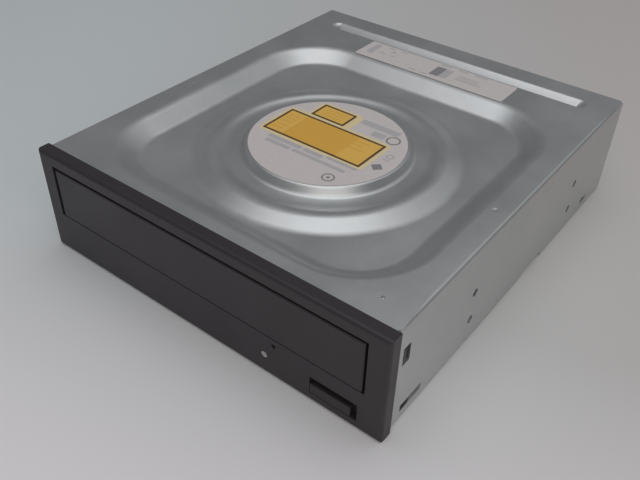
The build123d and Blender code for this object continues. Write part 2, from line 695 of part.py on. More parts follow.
# Loader frame: deck, side walls, tray rails, gear posts, hinge sockets and columns
FRAME_HALF = PAN_INNER - SLIDE_FIT
FRAME_FRONT_Y = BODY_FRONT_Y + 2 * SLIDE_FIT
RAIL_TOP = RUNNER_Z - SLIDE_FIT
RAIL_INNER = TRAY_HALF - RAIL_LAP
WALL_INNER = FRAME_HALF - WALL_T
WALL_FRONT_Y = FRONT_Y + HOOK_SETBACK + HOOK_LENGTH + HOOK_ROOM
LIP_Z = RUNNER_Z + RUNNER_HEIGHT + 2 * SLIDE_FIT
LIP_INNER = TRAY_BODY_HALF + LIP_CLEAR
with BuildPart() as loader_frame:
    block(-FRAME_HALF, FRAME_HALF, FRAME_FRONT_Y, FRAME_REAR_Y, DECK_Z, DECK_TOP)
    block(-WELL_HALF, WELL_HALF, WELL_FRONT_Y, WELL_REAR_Y, DECK_Z, DECK_TOP, Mode.SUBTRACT)
    for side in (-1, 1):
        x0, x1 = sorted((side * WALL_INNER, side * FRAME_HALF))
        block(x0, x1, WALL_FRONT_Y, FRAME_REAR_Y, FRAME_FOOT_Z, FRAME_WALL_TOP)
        x0, x1 = sorted((side * WALL_INNER, side * (WALL_INNER + FRONT_WALL_T)))
        block(x0, x1, FRAME_FRONT_Y, WALL_FRONT_Y, DECK_Z, FRAME_WALL_TOP)
        x0, x1 = sorted((side * RAIL_INNER, side * WALL_INNER))
        block(x0, x1, FRAME_FRONT_Y, FRAME_REAR_Y, RAIL_TOP - RAIL_T, RAIL_TOP)
        x0, x1 = sorted((side * LIP_INNER, side * WALL_INNER))
        for y in LIP_YS:
            block(x0, x1, y, y + LIP_LENGTH, LIP_Z, LIP_Z + LIP_T)
        x0, x1 = sorted((side * WALL_INNER, side * FRAME_HALF))
        for y in MOUNT_YS:
            for z in MOUNT_ZS:
                bar_x(y, z, SIDE_RELIEF_R, x0, x1, Mode.SUBTRACT)
            post(side * MOUNT_PITCH_X / 2, y, SIDE_RELIEF_R, 0, DECK_Z, Mode.SUBTRACT)
        x0, x1 = sorted((side * SOCKET_X, side * (SOCKET_X + SOCKET_HALF)))
        socket_z0, socket_z1 = HINGE_Z - SOCKET_HALF, HINGE_Z + SOCKET_HALF
        block(x0, x1, HINGE_Y - SOCKET_HALF, HINGE_Y + SOCKET_HALF, socket_z0, socket_z1)
        x0, x1 = sorted((side * WELL_HALF, side * (HINGE_PIN_END + SLIDE_FIT)))
        bar_x(HINGE_Y, HINGE_Z, HINGE_PIN_R + SPIN_FIT, x0, x1, Mode.SUBTRACT)
        for y in COLUMN_YS:
            post(side * COLUMN_X, y, COLUMN_R, PAN_T + CUP_RISE, DECK_Z)
            post(side * COLUMN_X, y, COLUMN_HOLE_R, 0, DECK_Z, Mode.SUBTRACT)
        for y in BOARD_BOSS_YS:
            post(side * BOARD_BOSS_X, y, BOARD_BOSS_R, MAIN_BOARD_Z + BOARD_T, DECK_Z)
            post(side * BOARD_BOSS_X, y, COLUMN_HOLE_R, 0, DECK_Z, Mode.SUBTRACT)
    block(
        -WALL_INNER, FRONT_BOARD_X0 - FRONT_BOARD_CLEAR, FRAME_FRONT_Y, FRAME_FRONT_Y + FRONT_WALL_T,
        FRONT_SKIRT_Z, DECK_Z,
    )
    block(-WALL_INNER, WALL_INNER, FRAME_REAR_Y - WALL_T, FRAME_REAR_Y, DECK_TOP, RAIL_TOP)
    post(DRIVE_X, DRIVE_Y, BOSS_R, DECK_TOP, WHEEL_Z - SLIDE_FIT)
    post(DRIVE_X, DRIVE_Y, POST_R, DECK_TOP, DRIVE_TOP + FIT)
    post(PULLEY_X, PULLEY_Y, BOSS_R, DECK_TOP, PULLEY_Z - SLIDE_FIT)
    post(PULLEY_X, PULLEY_Y, POST_R, DECK_TOP, WHEEL_Z + WHEEL_T + FIT)
    post(MOTOR_X, MOTOR_Y, MOTOR_NECK_R + SLIDE_FIT, 0, DECK_TOP, Mode.SUBTRACT)
    for side in (-1, 1):
        post(MOTOR_X, MOTOR_Y + side * MOTOR_SCREW_R, COLUMN_HOLE_R, DECK_Z, DECK_TOP, Mode.SUBTRACT)
    flange_y = SLIDER_Y - SLIDER_FLANGE
    guide_top = DECK_TOP + GUIDE_HEIGHT
    for x in GUIDE_XS:
        x1 = x + GUIDE_LENGTH
        block(x, x1, flange_y - GUIDE_T, flange_y - SLIDE_FIT, DECK_TOP, guide_top)
        finger_z = DECK_TOP + SLIDER_FLANGE_T + 2 * SLIDE_FIT
        block(x, x1, flange_y - GUIDE_T, flange_y + GUIDE_T, finger_z, guide_top)
    for x in FRONT_BOARD_HOLE_XS:
        post(x, FRONT_BOARD_HOLE_Y, BOARD_BOSS_R, FRONT_BOARD_Z + BOARD_T, DECK_Z)
        post(x, FRONT_BOARD_HOLE_Y, COLUMN_HOLE_R, 0, DECK_Z, Mode.SUBTRACT)
    for side in (-1, 1):
        x0, x1 = sorted((side * BRIDGE_SCREW_X, side * WALL_INNER))
        y0, y1 = SPINDLE_Y - BRIDGE_SCREW_R, SPINDLE_Y + BRIDGE_SCREW_R
        block(x0, x1, y0, y1, LIP_Z, FRAME_WALL_TOP)
        post(side * BRIDGE_SCREW_X, SPINDLE_Y, BRIDGE_SCREW_R, LIP_Z, FRAME_WALL_TOP)
        post(side * BRIDGE_SCREW_X, SPINDLE_Y, COLUMN_HOLE_R, LIP_Z, FRAME_WALL_TOP, Mode.SUBTRACT)
    half = RELEASE_R + SLIDE_FIT
    block(
        RELEASE_X - half, RELEASE_X + half, FRAME_FRONT_Y, SLIDER_Y - SLIDER_FLANGE, RELEASE_Z,
        RELEASE_Z + half, Mode.SUBTRACT,
    )
save(loader_frame, "loader_frame")

# Disc tray: moulded plate with two recesses, a slot for the pickup, runners, ribs and the rack
TRAY_FRONT_Y = FRONT_Y + DOOR_RECESS + DOOR_T
RACK_PITCH = pi * RACK_MODULE
RACK_TEETH = 1 + int((RACK_OVERRUN + TRAY_TRAVEL) / RACK_PITCH)
RACK_FIRST_Y = DRIVE_Y - RACK_PITCH / 2 - RACK_PITCH * int(RACK_OVERRUN / RACK_PITCH)
with BuildPart() as disc_tray:
    block(-TRAY_BODY_HALF, TRAY_BODY_HALF, TRAY_FRONT_Y, TRAY_REAR_Y, TRAY_FLOOR_Z, TRAY_TOP)
    corners = disc_tray.edges().filter_by(Axis.Z).group_by(Axis.Y)[-1]
    fillet(corners, TRAY_CORNER_R)
    block(
        -TRAY_BODY_HALF + TRAY_SKIN, TRAY_BODY_HALF - TRAY_SKIN, TRAY_FRONT_Y + TRAY_SKIN,
        TRAY_REAR_Y - TRAY_SKIN, TRAY_FLOOR_Z, TRAY_TOP - TRAY_SKIN, Mode.SUBTRACT,
    )
    post(0, SPINDLE_Y, DISC_R + RECESS_CLEAR + TRAY_SKIN, RECESS_Z - TRAY_SKIN, TRAY_TOP)
    for y in (TRAY_REAR_Y - REAR_RIB_SETBACK, SLOT_REAR_Y + RIB_T):
        block(
            -TRAY_BODY_HALF + RIB_T, TRAY_BODY_HALF - RIB_T, y - RIB_T, y, RECESS_Z - TRAY_SKIN,
            TRAY_TOP - RIB_T,
        )
    post(0, SPINDLE_Y, SMALL_DISC_R + RECESS_CLEAR + TRAY_SKIN, TRAY_FLOOR_Z, RECESS_Z)
    post(0, SPINDLE_Y, DISC_R + RECESS_CLEAR, RECESS_Z, TRAY_TOP, Mode.SUBTRACT)
    post(0, SPINDLE_Y, SMALL_DISC_R + RECESS_CLEAR, SMALL_RECESS_Z, RECESS_Z, Mode.SUBTRACT)
    post(0, SPINDLE_Y, HUB_HOLE_R, TRAY_FLOOR_Z, TRAY_TOP, Mode.SUBTRACT)
    block(-SLOT_HALF, SLOT_HALF, SPINDLE_Y, SLOT_REAR_Y, TRAY_FLOOR_Z, TRAY_TOP, Mode.SUBTRACT)
    block(-CHANNEL_HALF, CHANNEL_HALF, SLOT_REAR_Y, TRAY_REAR_Y, TRAY_FLOOR_Z, RECESS_Z, Mode.SUBTRACT)
    for side in (-1, 1):
        x0, x1 = sorted((side * (TRAY_HALF - RUNNER_WIDTH), side * TRAY_HALF))
        block(x0, x1, TRAY_FRONT_Y + DOOR_T, TRAY_REAR_Y, RUNNER_Z, RUNNER_Z + RUNNER_HEIGHT)
    rack_root = RACK_X - RACK_MODULE * TOOTH_DEDENDUM
    block(
        rack_root - RACK_BACK, rack_root, TRAY_FRONT_Y + DOOR_T, TRAY_REAR_Y - RACK_END_CLEAR,
        RACK_Z, TRAY_TOP - TRAY_SKIN,
    )
    slope = tan(radians(PRESSURE_ANGLE))
    pitch_half = (RACK_PITCH / 2 - BACKLASH) / 2
    tip_half = pitch_half - RACK_MODULE * TOOTH_ADDENDUM * slope
    root_half = pitch_half + RACK_MODULE * TOOTH_DEDENDUM * slope
    rack_tip = RACK_X + RACK_MODULE * TOOTH_ADDENDUM
    with BuildSketch(Plane.XY.offset(RACK_Z)):
        for tooth in range(RACK_TEETH):
            y = RACK_FIRST_Y + tooth * RACK_PITCH
            with BuildLine():
                Polyline(
                    (rack_root, y - root_half), (rack_tip, y - tip_half), (rack_tip, y + tip_half),
                    (rack_root, y + root_half), close=True,
                )
            make_face()
    extrude(amount=DRIVE_TOP - RACK_Z)
save(disc_tray, "disc_tray")

# Tray door, clipped over the front edge of the tray
with BuildPart() as tray_door:
    block(-DOOR_HALF, DOOR_HALF, FRONT_Y + DOOR_RECESS, TRAY_FRONT_Y, DOOR_Z, DOOR_Z + DOOR_HEIGHT)
    fillet(tray_door.edges().group_by(Axis.Y)[0], DOOR_EDGE_R)
    for x in DOOR_CLIP_XS:
        x0, x1 = x - DOOR_CLIP_WIDTH / 2, x + DOOR_CLIP_WIDTH / 2
        low, high = TRAY_FLOOR_Z - FIT, TRAY_TOP + FIT
        block(x0, x1, TRAY_FRONT_Y, TRAY_FRONT_Y + DOOR_CLIP, low - RIB_T, low)
        block(x0, x1, TRAY_FRONT_Y, TRAY_FRONT_Y + DOOR_CLIP / 2, high, high + RIB_T)
save(tray_door, "tray_door")

# Drive gear: the large wheel is driven by the pinion, the small wheel drives the rack
with BuildPart() as drive_gear:
    with BuildSketch(Plane((DRIVE_X, DRIVE_Y, WHEEL_Z))):
        with BuildLine():
            Polyline(*gear_points(TRAIN_MODULE, WHEEL_TEETH, TRAIN_ANGLE), close=True)
        make_face()
    extrude(amount=WHEEL_T)
    with BuildSketch(Plane((DRIVE_X, DRIVE_Y, WHEEL_Z))):
        with BuildLine():
            Polyline(*gear_points(RACK_MODULE, RACK_WHEEL_TEETH, 0), close=True)
        make_face()
    extrude(amount=DRIVE_TOP - WHEEL_Z)
    post(DRIVE_X, DRIVE_Y, POST_R + SPIN_FIT, WHEEL_Z, DRIVE_TOP, Mode.SUBTRACT)
save(drive_gear, "drive_gear")

# Pulley gear: a large belt pulley with the pinion on top
with BuildPart() as pulley_gear:
    with BuildSketch(Plane((PULLEY_X, PULLEY_Y, PULLEY_Z))):
        with BuildLine():
            pinion_phase = TRAIN_ANGLE + 180 + 180 / PINION_TEETH
            Polyline(*gear_points(TRAIN_MODULE, PINION_TEETH, pinion_phase), close=True)
        make_face()
    extrude(amount=WHEEL_Z + WHEEL_T - PULLEY_Z)
    lip = (PULLEY_T - BELT_T) / 2
    post(PULLEY_X, PULLEY_Y, PULLEY_R, PULLEY_Z, PULLEY_Z + lip - SPIN_FIT)
    post(PULLEY_X, PULLEY_Y, PULLEY_GROOVE_R, PULLEY_Z, PULLEY_Z + PULLEY_T)
    post(PULLEY_X, PULLEY_Y, PULLEY_R, PULLEY_Z + PULLEY_T - lip + SPIN_FIT, PULLEY_Z + PULLEY_T)
    post(PULLEY_X, PULLEY_Y, POST_R + SPIN_FIT, PULLEY_Z, WHEEL_Z + WHEEL_T, Mode.SUBTRACT)
save(pulley_gear, "pulley_gear")

# Small pulley on the shaft of the loading motor
with BuildPart() as motor_pulley:
    post(MOTOR_X, MOTOR_Y, SMALL_PULLEY_R, PULLEY_Z, PULLEY_Z + lip - SPIN_FIT)
    post(MOTOR_X, MOTOR_Y, SMALL_GROOVE_R, PULLEY_Z, PULLEY_Z + PULLEY_T)
    post(MOTOR_X, MOTOR_Y, SMALL_PULLEY_R, PULLEY_Z + PULLEY_T - lip + SPIN_FIT, PULLEY_Z + PULLEY_T)
    post(MOTOR_X, MOTOR_Y, SHAFT_R, PULLEY_Z, PULLEY_Z + PULLEY_T, Mode.SUBTRACT)
save(motor_pulley, "motor_pulley")

MOTOR_TOP = DECK_Z
NECK_TOP = PULLEY_Z - SLIDE_FIT
with BuildPart() as motor_shaft:
    post(MOTOR_X, MOTOR_Y, SHAFT_R, MOTOR_TOP - SHAFT_DEPTH, PULLEY_Z + PULLEY_T)
save(motor_shaft, "motor_shaft")

# Loading motor: a flat can with a bearing neck, held under the deck by two screws
with BuildPart() as loading_motor:
    post(MOTOR_X, MOTOR_Y, MOTOR_R, MOTOR_BOTTOM, MOTOR_TOP)
    fillet(loading_motor.edges().group_by(Axis.Z)[0], MOTOR_EDGE_R)
    post(MOTOR_X, MOTOR_Y, MOTOR_NECK_R, MOTOR_TOP, NECK_TOP)
    bore_z = MOTOR_TOP - SHAFT_DEPTH - SPIN_FIT
    post(MOTOR_X, MOTOR_Y, SHAFT_R + SPIN_FIT, bore_z, NECK_TOP, Mode.SUBTRACT)
    for side in (-1, 1):
        y = MOTOR_Y + side * MOTOR_SCREW_R
        post(MOTOR_X, y, COLUMN_HOLE_R, MOTOR_TOP - MOTOR_HOLE_DEPTH, MOTOR_TOP, Mode.SUBTRACT)
save(loading_motor, "loading_motor")


def screw(x, y, rest_z, shank_end, head_r=SCREW_HEAD_R):
    """A pan-head screw: the head lies on the far side of rest_z from the end of the shank."""
    up = 1 if rest_z > shank_end else -1
    z0, z1 = sorted((rest_z, rest_z + up * SCREW_HEAD_T))
    post(x, y, head_r, z0, z1)
    z0, z1 = sorted((rest_z, shank_end))
    post(x, y, COLUMN_HOLE_R - SPIN_FIT, z0, z1)


with BuildPart() as motor_screws:
    for side in (-1, 1):
        y = MOTOR_Y + side * MOTOR_SCREW_R
        screw(MOTOR_X, y, DECK_TOP, MOTOR_TOP - MOTOR_SCREW_DEPTH, SMALL_HEAD_R)
save(motor_screws, "motor_screws")

# Drive belt, round both pulleys
with BuildPart() as drive_belt:
    with BuildSketch(Plane.XY.offset(PULLEY_Z + lip)):
        with Locations((PULLEY_X, PULLEY_Y)):
            Circle(PULLEY_GROOVE_R + SPIN_FIT + BELT_T)
        with Locations((MOTOR_X, MOTOR_Y)):
            Circle(SMALL_GROOVE_R + SPIN_FIT + BELT_T)
        make_hull()
        with BuildSketch(mode=Mode.SUBTRACT):
            with Locations((PULLEY_X, PULLEY_Y)):
                Circle(PULLEY_GROOVE_R + SPIN_FIT)
            with Locations((MOTOR_X, MOTOR_Y)):
                Circle(SMALL_GROOVE_R + SPIN_FIT)
            make_hull()
    extrude(amount=BELT_T)
save(drive_belt, "drive_belt")

# Cam slider: an upright web with two slanted slots for the followers of the traverse
FOLLOWER_LOW_Z = HINGE_Z - LIFT_FRONT * sin(radians(LIFT_ANGLE)) + FOLLOWER_H * cos(radians(LIFT_ANGLE))
FOLLOWER_HIGH_Z = HINGE_Z + FOLLOWER_H
with BuildPart() as cam_slider:
    block(SLIDER_X0, SLIDER_X1, SLIDER_Y, SLIDER_Y + SLIDER_T, SLIDER_Z0, SLIDER_Z1)
    flange_z = DECK_TOP + SLIDE_FIT
    block(SLIDER_X0, SLIDER_X1, SLIDER_Y - SLIDER_FLANGE, SLIDER_Y, flange_z, flange_z + SLIDER_FLANGE_T)
    with BuildSketch(Plane.XZ.offset(-SLIDER_Y - SLIDER_T - FIT)):
        for x in (-FOLLOWER_X, FOLLOWER_X):
            path = (
                (x + CAM_DWELL, FOLLOWER_LOW_Z), (x, FOLLOWER_LOW_Z),
                (x - SLIDER_TRAVEL, FOLLOWER_HIGH_Z), (x - SLIDER_TRAVEL - CAM_DWELL, FOLLOWER_HIGH_Z),
            )
            for (xa, za), (xb, zb) in zip(path, path[1:]):
                with Locations(((xa + xb) / 2, (za + zb) / 2)):
                    SlotCenterToCenter(
                        sqrt((xb - xa) ** 2 + (zb - za) ** 2), 2 * (FOLLOWER_R + CAM_CLEAR),
                        rotation=degrees(atan2(zb - za, xb - xa)),
                    )
    extrude(amount=SLIDER_T + 2 * FIT, mode=Mode.SUBTRACT)
save(cam_slider, "cam_slider")

# Lift frame of the traverse: a moulded ring with hinge pins behind and cam followers in front
with BuildPart(TRAVERSE) as lift_frame:
    block(-LIFT_HALF, LIFT_HALF, -LIFT_FRONT, LIFT_REAR, LIFT_BOTTOM, LIFT_RIM)
    block(
        -LIFT_HALF + RIB_T, LIFT_HALF - RIB_T, -LIFT_FRONT + RIB_T, LIFT_REAR - RIB_T,
        LIFT_BOTTOM + LIFT_T, LIFT_RIM, Mode.SUBTRACT,
    )
    block(
        -LIFT_WELL_HALF, LIFT_WELL_HALF, -LIFT_WELL_FRONT, -LIFT_WELL_REAR, LIFT_BOTTOM, LIFT_RIM,
        Mode.SUBTRACT,
    )
    for side in (-1, 1):
        x0, x1 = sorted((side * (GROMMET_X - EAR_SIZE / 2), side * LIFT_WELL_HALF))
        for y in GROMMET_YS:
            inward = 1 if y < -LIFT_FRONT / 2 else -1
            y0, y1 = sorted((-LIFT_WELL_FRONT if inward > 0 else -LIFT_WELL_REAR, y + inward * EAR_SIZE / 2))
            block(x0, x1, y0, y1, LIFT_BOTTOM, EAR_TOP)
            post(side * GROMMET_X, y, COLUMN_HOLE_R, LIFT_BOTTOM, EAR_TOP, Mode.SUBTRACT)
        x0, x1 = sorted((side * (LIFT_HALF - HINGE_PAD), side * LIFT_HALF))
        block(x0, x1, -LIFT_REAR, LIFT_REAR, -HINGE_PIN_R, LIFT_BOTTOM + LIFT_T)
        x0, x1 = sorted((side * LIFT_HALF, side * HINGE_PIN_END))
        bar_x(0, 0, HINGE_PIN_R, x0, x1)
        bar_y(side * FOLLOWER_X, FOLLOWER_H, FOLLOWER_R, -LIFT_FRONT - FOLLOWER_LENGTH, -LIFT_FRONT)
save(lift_frame, "lift_frame")

# Rubber grommets between the lift frame and the traverse plate, and their screws
with BuildPart(TRAVERSE) as damper_grommets:
    for x in (-GROMMET_X, GROMMET_X):
        for y in GROMMET_YS:
            post(x, y, GROMMET_R, EAR_TOP, EAR_TOP + GROMMET_T)
            post(x, y, GROMMET_HOLE_R, EAR_TOP, EAR_TOP + GROMMET_T, Mode.SUBTRACT)
save(damper_grommets, "damper_grommets")

PLATE_H = EAR_TOP + GROMMET_T
PLATE_TOP_H = PLATE_H + PLATE_T
with BuildPart(TRAVERSE) as grommet_screws:
    for x in (-GROMMET_X, GROMMET_X):
        for y in GROMMET_YS:
            screw(x, y, PLATE_TOP_H, LIFT_BOTTOM)
save(grommet_screws, "grommet_screws")

# Traverse plate: pressed steel with the well of the pickup and posts for the guide rods
LENS_Y = -SPINDLE_ARM + PICKUP_START
PICKUP_END_Y = LENS_Y + PICKUP_TRAVEL + PICKUP_LENGTH - PICKUP_FRONT
with BuildPart(TRAVERSE) as traverse_plate:
    block(-PLATE_HALF, PLATE_HALF, -PLATE_FRONT, -PLATE_REAR, PLATE_H, PLATE_TOP_H)
    plate_corners = traverse_plate.edges().filter_by(TRAVERSE_AXIS)
    fillet(plate_corners, PLATE_CORNER_R)
    block(
        -PICKUP_WELL_HALF, PICKUP_WELL_HALF, -PICKUP_WELL_FRONT, PICKUP_END_Y - PICKUP_OVERHANG,
        PLATE_H, PLATE_TOP_H, Mode.SUBTRACT,
    )
    for x in (-GROMMET_X, GROMMET_X):
        for y in GROMMET_YS:
            post(x, y, COLUMN_HOLE_R, PLATE_H, PLATE_TOP_H, Mode.SUBTRACT)
    for x in (-ROD_X, ROD_X):
        for y in (-ROD_FRONT, -ROD_REAR - ROD_POST_LENGTH):
            half = ROD_POST_WIDTH / 2
            block(x - half, x + half, y, y + ROD_POST_LENGTH, PLATE_TOP_H, ROD_H + half)
        bar_y(x, ROD_H, ROD_R + SPIN_FIT / 2, -ROD_FRONT, -ROD_REAR, Mode.SUBTRACT)
    half = ROD_POST_WIDTH / 2
    y0 = -SCREW_FRONT - ROD_POST_LENGTH
    block(SCREW_X - half, SCREW_X + half, y0, -SCREW_FRONT, PLATE_TOP_H, SCREW_H + half)
    bar_y(SCREW_X, SCREW_H, SCREW_R + SPIN_FIT, y0, -SCREW_FRONT, Mode.SUBTRACT)
save(traverse_plate, "traverse_plate")

# Guide rods of the pickup sled
with BuildPart(TRAVERSE) as guide_rods:
    for x in (-ROD_X, ROD_X):
        bar_y(x, ROD_H, ROD_R, -ROD_FRONT, -ROD_REAR)
save(guide_rods, "guide_rods")

# Disc motor: the fixed base and winding, below the rotor can
CAN_BOTTOM_H = DISC_REST_H - PAD_T - TABLE_T - CAN_T
with BuildPart(TRAVERSE) as spindle_motor:
    post(0, -SPINDLE_ARM, STATOR_R + STATOR_FOOT, PLATE_TOP_H, PLATE_TOP_H + STATOR_FOOT_T)
    post(0, -SPINDLE_ARM, STATOR_R, PLATE_TOP_H, CAN_BOTTOM_H - STATOR_CLEAR)
    post(0, -SPINDLE_ARM, 2 * SPINDLE_R, PLATE_TOP_H, CAN_BOTTOM_H - STATOR_CLEAR + BEARING_RISE)
    post(0, -SPINDLE_ARM, SPINDLE_R + SPIN_FIT, PLATE_TOP_H, CAN_BOTTOM_H + REACH, Mode.SUBTRACT)
save(spindle_motor, "spindle_motor")

# Turntable: rotor can, table, centring spigot and shaft, turned as one
with BuildPart(TRAVERSE) as turntable:
    table_top = DISC_REST_H - PAD_T
    post(0, -SPINDLE_ARM, CAN_R, CAN_BOTTOM_H, table_top - TABLE_T)
    can_top = table_top - TABLE_T - CAN_WALL
    post(0, -SPINDLE_ARM, CAN_R - CAN_WALL, CAN_BOTTOM_H, can_top, Mode.SUBTRACT)
    post(0, -SPINDLE_ARM, TABLE_R, table_top - TABLE_T, table_top)
    post(0, -SPINDLE_ARM, SPIGOT_R, table_top, DISC_REST_H + SPIGOT_H)
    rim = turntable.edges().filter_by(GeomType.CIRCLE)
    rim = rim.filter_by(lambda e: abs(e.radius - SPIGOT_R) < FIT)
    chamfer(rim.sort_by(TRAVERSE_AXIS)[-1], SPIGOT_CHAMFER)
    post(0, -SPINDLE_ARM, SPINDLE_R, PLATE_TOP_H + FIT, table_top)
save(turntable, "turntable")

# Rubber ring that the disc lies on
with BuildPart(TRAVERSE) as turntable_pad:
    pad_r = TABLE_R - PAD_EDGE
    post(0, -SPINDLE_ARM, pad_r, DISC_REST_H - PAD_T, DISC_REST_H)
    post(0, -SPINDLE_ARM, pad_r - PAD_WIDTH, DISC_REST_H - PAD_T, DISC_REST_H, Mode.SUBTRACT)
save(turntable_pad, "turntable_pad")

# Pickup: die-cast sled on the two rods, cover plate and lens
with BuildPart(TRAVERSE) as pickup_base:
    y0 = LENS_Y - PICKUP_FRONT
    block(-PICKUP_HALF, PICKUP_HALF, y0, y0 + PICKUP_LENGTH, PICKUP_BOTTOM_H, PICKUP_TOP_H)
    sled_corners = pickup_base.edges().filter_by(TRAVERSE_AXIS)
    fillet(sled_corners, PICKUP_CORNER_R)
    for side in (-1, 1):
        x0, x1 = sorted((side * PICKUP_HALF, side * (ROD_X + PICKUP_EAR_WIDTH / 2)))
        y0 = LENS_Y - PICKUP_EAR_LENGTH
        block(x0, x1, y0, LENS_Y, ROD_H - PICKUP_EAR_WIDTH / 2, ROD_H + PICKUP_EAR_WIDTH / 2)
        bar_y(side * ROD_X, ROD_H, ROD_R + SPIN_FIT, y0 - FIT, LENS_Y + FIT, Mode.SUBTRACT)
    x0 = ROD_X + PICKUP_EAR_WIDTH / 2
    block(x0, SCREW_X - SCREW_R - NUT_CLEAR, y0, LENS_Y, ROD_H - NUT_DROP, ROD_H + NUT_RISE)
    post(0, LENS_Y, LENS_R + LENS_WELL, PICKUP_TOP_H - LENS_WELL, PICKUP_TOP_H, Mode.SUBTRACT)
save(pickup_base, "pickup_base")

with BuildPart(TRAVERSE) as pickup_cover:
    y0 = LENS_Y - COVER_PLATE_FRONT
    y1 = y0 + COVER_PLATE_LENGTH
    block(-COVER_PLATE_HALF, COVER_PLATE_HALF, y0, y1, PICKUP_TOP_H, COVER_PLATE_TOP_H)
    cover_corners = pickup_cover.edges().filter_by(TRAVERSE_AXIS)
    fillet(cover_corners, COVER_PLATE_CORNER_R)
    post(0, LENS_Y, LENS_R + SLIDE_FIT, PICKUP_TOP_H, COVER_PLATE_TOP_H, Mode.SUBTRACT)
save(pickup_cover, "pickup_cover")

with BuildPart(TRAVERSE) as objective_lens:
    post(0, LENS_Y, LENS_R, PICKUP_TOP_H - LENS_WELL, LENS_TOP_H)
    lens_rims = objective_lens.edges().filter_by(GeomType.CIRCLE).sort_by(TRAVERSE_AXIS)
    fillet(lens_rims[-1], LENS_EDGE_R)
save(objective_lens, "objective_lens")

# Lead screw and the motor that turns it
with BuildPart(TRAVERSE) as lead_screw:
    y0 = -SCREW_FRONT - ROD_POST_LENGTH
    bar_y(SCREW_X, SCREW_H, SCREW_R, y0, -SLED_MOTOR_FRONT + SCREW_GRIP)
save(lead_screw, "lead_screw")

with BuildPart(TRAVERSE) as sled_motor:
    y0, y1 = -SLED_MOTOR_FRONT, -SLED_MOTOR_FRONT + SLED_MOTOR_LENGTH
    bar_y(SCREW_X, SCREW_H, SLED_MOTOR_R, y0, y1)
    block(SCREW_X - SLED_MOTOR_FOOT, SCREW_X + SLED_MOTOR_FOOT, y0, y1, PLATE_TOP_H, SCREW_H)
    bar_y(SCREW_X, SCREW_H, SCREW_R + SPIN_FIT, y0, y0 + SCREW_GRIP + SPIN_FIT, Mode.SUBTRACT)
save(sled_motor, "sled_motor")

# Clamp bridge: a pressed cross-piece on the walls of the frame, with the hole for the clamper
BRIDGE_Z = FRAME_WALL_TOP
BRIDGE_TOP = BRIDGE_Z + BRIDGE_T
RIM_TOP = BRIDGE_TOP + BRIDGE_RIB_H
with BuildPart() as clamp_bridge:
    with BuildSketch(Plane.XY.offset(BRIDGE_Z)):
        with Locations((0, SPINDLE_Y)):
            Rectangle(2 * BRIDGE_HALF, BRIDGE_WAIST)
            Circle(BRIDGE_RING_R)
            with GridLocations(2 * BRIDGE_HALF - BRIDGE_PAD, 0, 2, 1):
                Rectangle(BRIDGE_PAD, BRIDGE_WIDTH)
    extrude(amount=BRIDGE_T)
    bridge_corners = clamp_bridge.edges().filter_by(Axis.Z)
    fillet(bridge_corners, BRIDGE_CORNER_R)
    post(0, SPINDLE_Y, CLAMPER_HOLE_R + RIB_T, BRIDGE_TOP, RIM_TOP)
    for side in (-1, 1):
        for edge in (-1, 1):
            y = SPINDLE_Y + edge * (BRIDGE_WAIST / 2 - RIB_T)
            x0, x1 = sorted((side * (CLAMPER_HOLE_R + RIB_T), side * (BRIDGE_HALF - 2 * BRIDGE_PAD)))
            block(x0, x1, y - RIB_T / 2, y + RIB_T / 2, BRIDGE_TOP, RIM_TOP)
        post(side * BRIDGE_SCREW_X, SPINDLE_Y, COLUMN_HOLE_R, BRIDGE_Z, RIM_TOP, Mode.SUBTRACT)
    post(0, SPINDLE_Y, CLAMPER_HOLE_R, BRIDGE_Z, RIM_TOP, Mode.SUBTRACT)
save(clamp_bridge, "clamp_bridge")

with BuildPart() as bridge_screws:
    for x in (-BRIDGE_SCREW_X, BRIDGE_SCREW_X):
        screw(x, SPINDLE_Y, BRIDGE_TOP, LIP_Z + FIT, SMALL_HEAD_R)
save(bridge_screws, "bridge_screws")

# Clamper: moulded disc that hangs in the bridge, with its magnet and steel yoke
CLAMPER_FLANGE_Z = RIM_TOP + SPIN_FIT
CLAMPER_TOP = CLAMPER_FLANGE_Z + CLAMPER_WALL
with BuildPart() as clamper:
    post(0, SPINDLE_Y, CLAMPER_SKIRT_R, CLAMPER_BOTTOM, CLAMPER_FLANGE_Z)
    post(0, SPINDLE_Y, CLAMPER_FLANGE_R, CLAMPER_FLANGE_Z, CLAMPER_TOP)
    post(0, SPINDLE_Y, YOKE_R + CLAMPER_WALL, CLAMPER_TOP, CLAMPER_TOP + MAGNET_T)
    post(0, SPINDLE_Y, YOKE_R, CLAMPER_TOP, CLAMPER_TOP + MAGNET_T, Mode.SUBTRACT)
    hub_r = SPIGOT_R + CLAMPER_HUB_CLEAR
    post(0, SPINDLE_Y, hub_r, CLAMPER_BOTTOM, CLAMPER_TOP - CLAMPER_WALL, Mode.SUBTRACT)
save(clamper, "clamper")

with BuildPart() as clamper_magnet:
    post(0, SPINDLE_Y, MAGNET_R, CLAMPER_TOP, CLAMPER_TOP + MAGNET_T - YOKE_T)
    post(0, SPINDLE_Y, MAGNET_R / 2, CLAMPER_TOP, CLAMPER_TOP + MAGNET_T - YOKE_T, Mode.SUBTRACT)
save(clamper_magnet, "clamper_magnet")

with BuildPart() as clamper_yoke:
    post(0, SPINDLE_Y, YOKE_R - SPIN_FIT, CLAMPER_TOP + MAGNET_T - YOKE_T, CLAMPER_TOP + MAGNET_T)
save(clamper_yoke, "clamper_yoke")

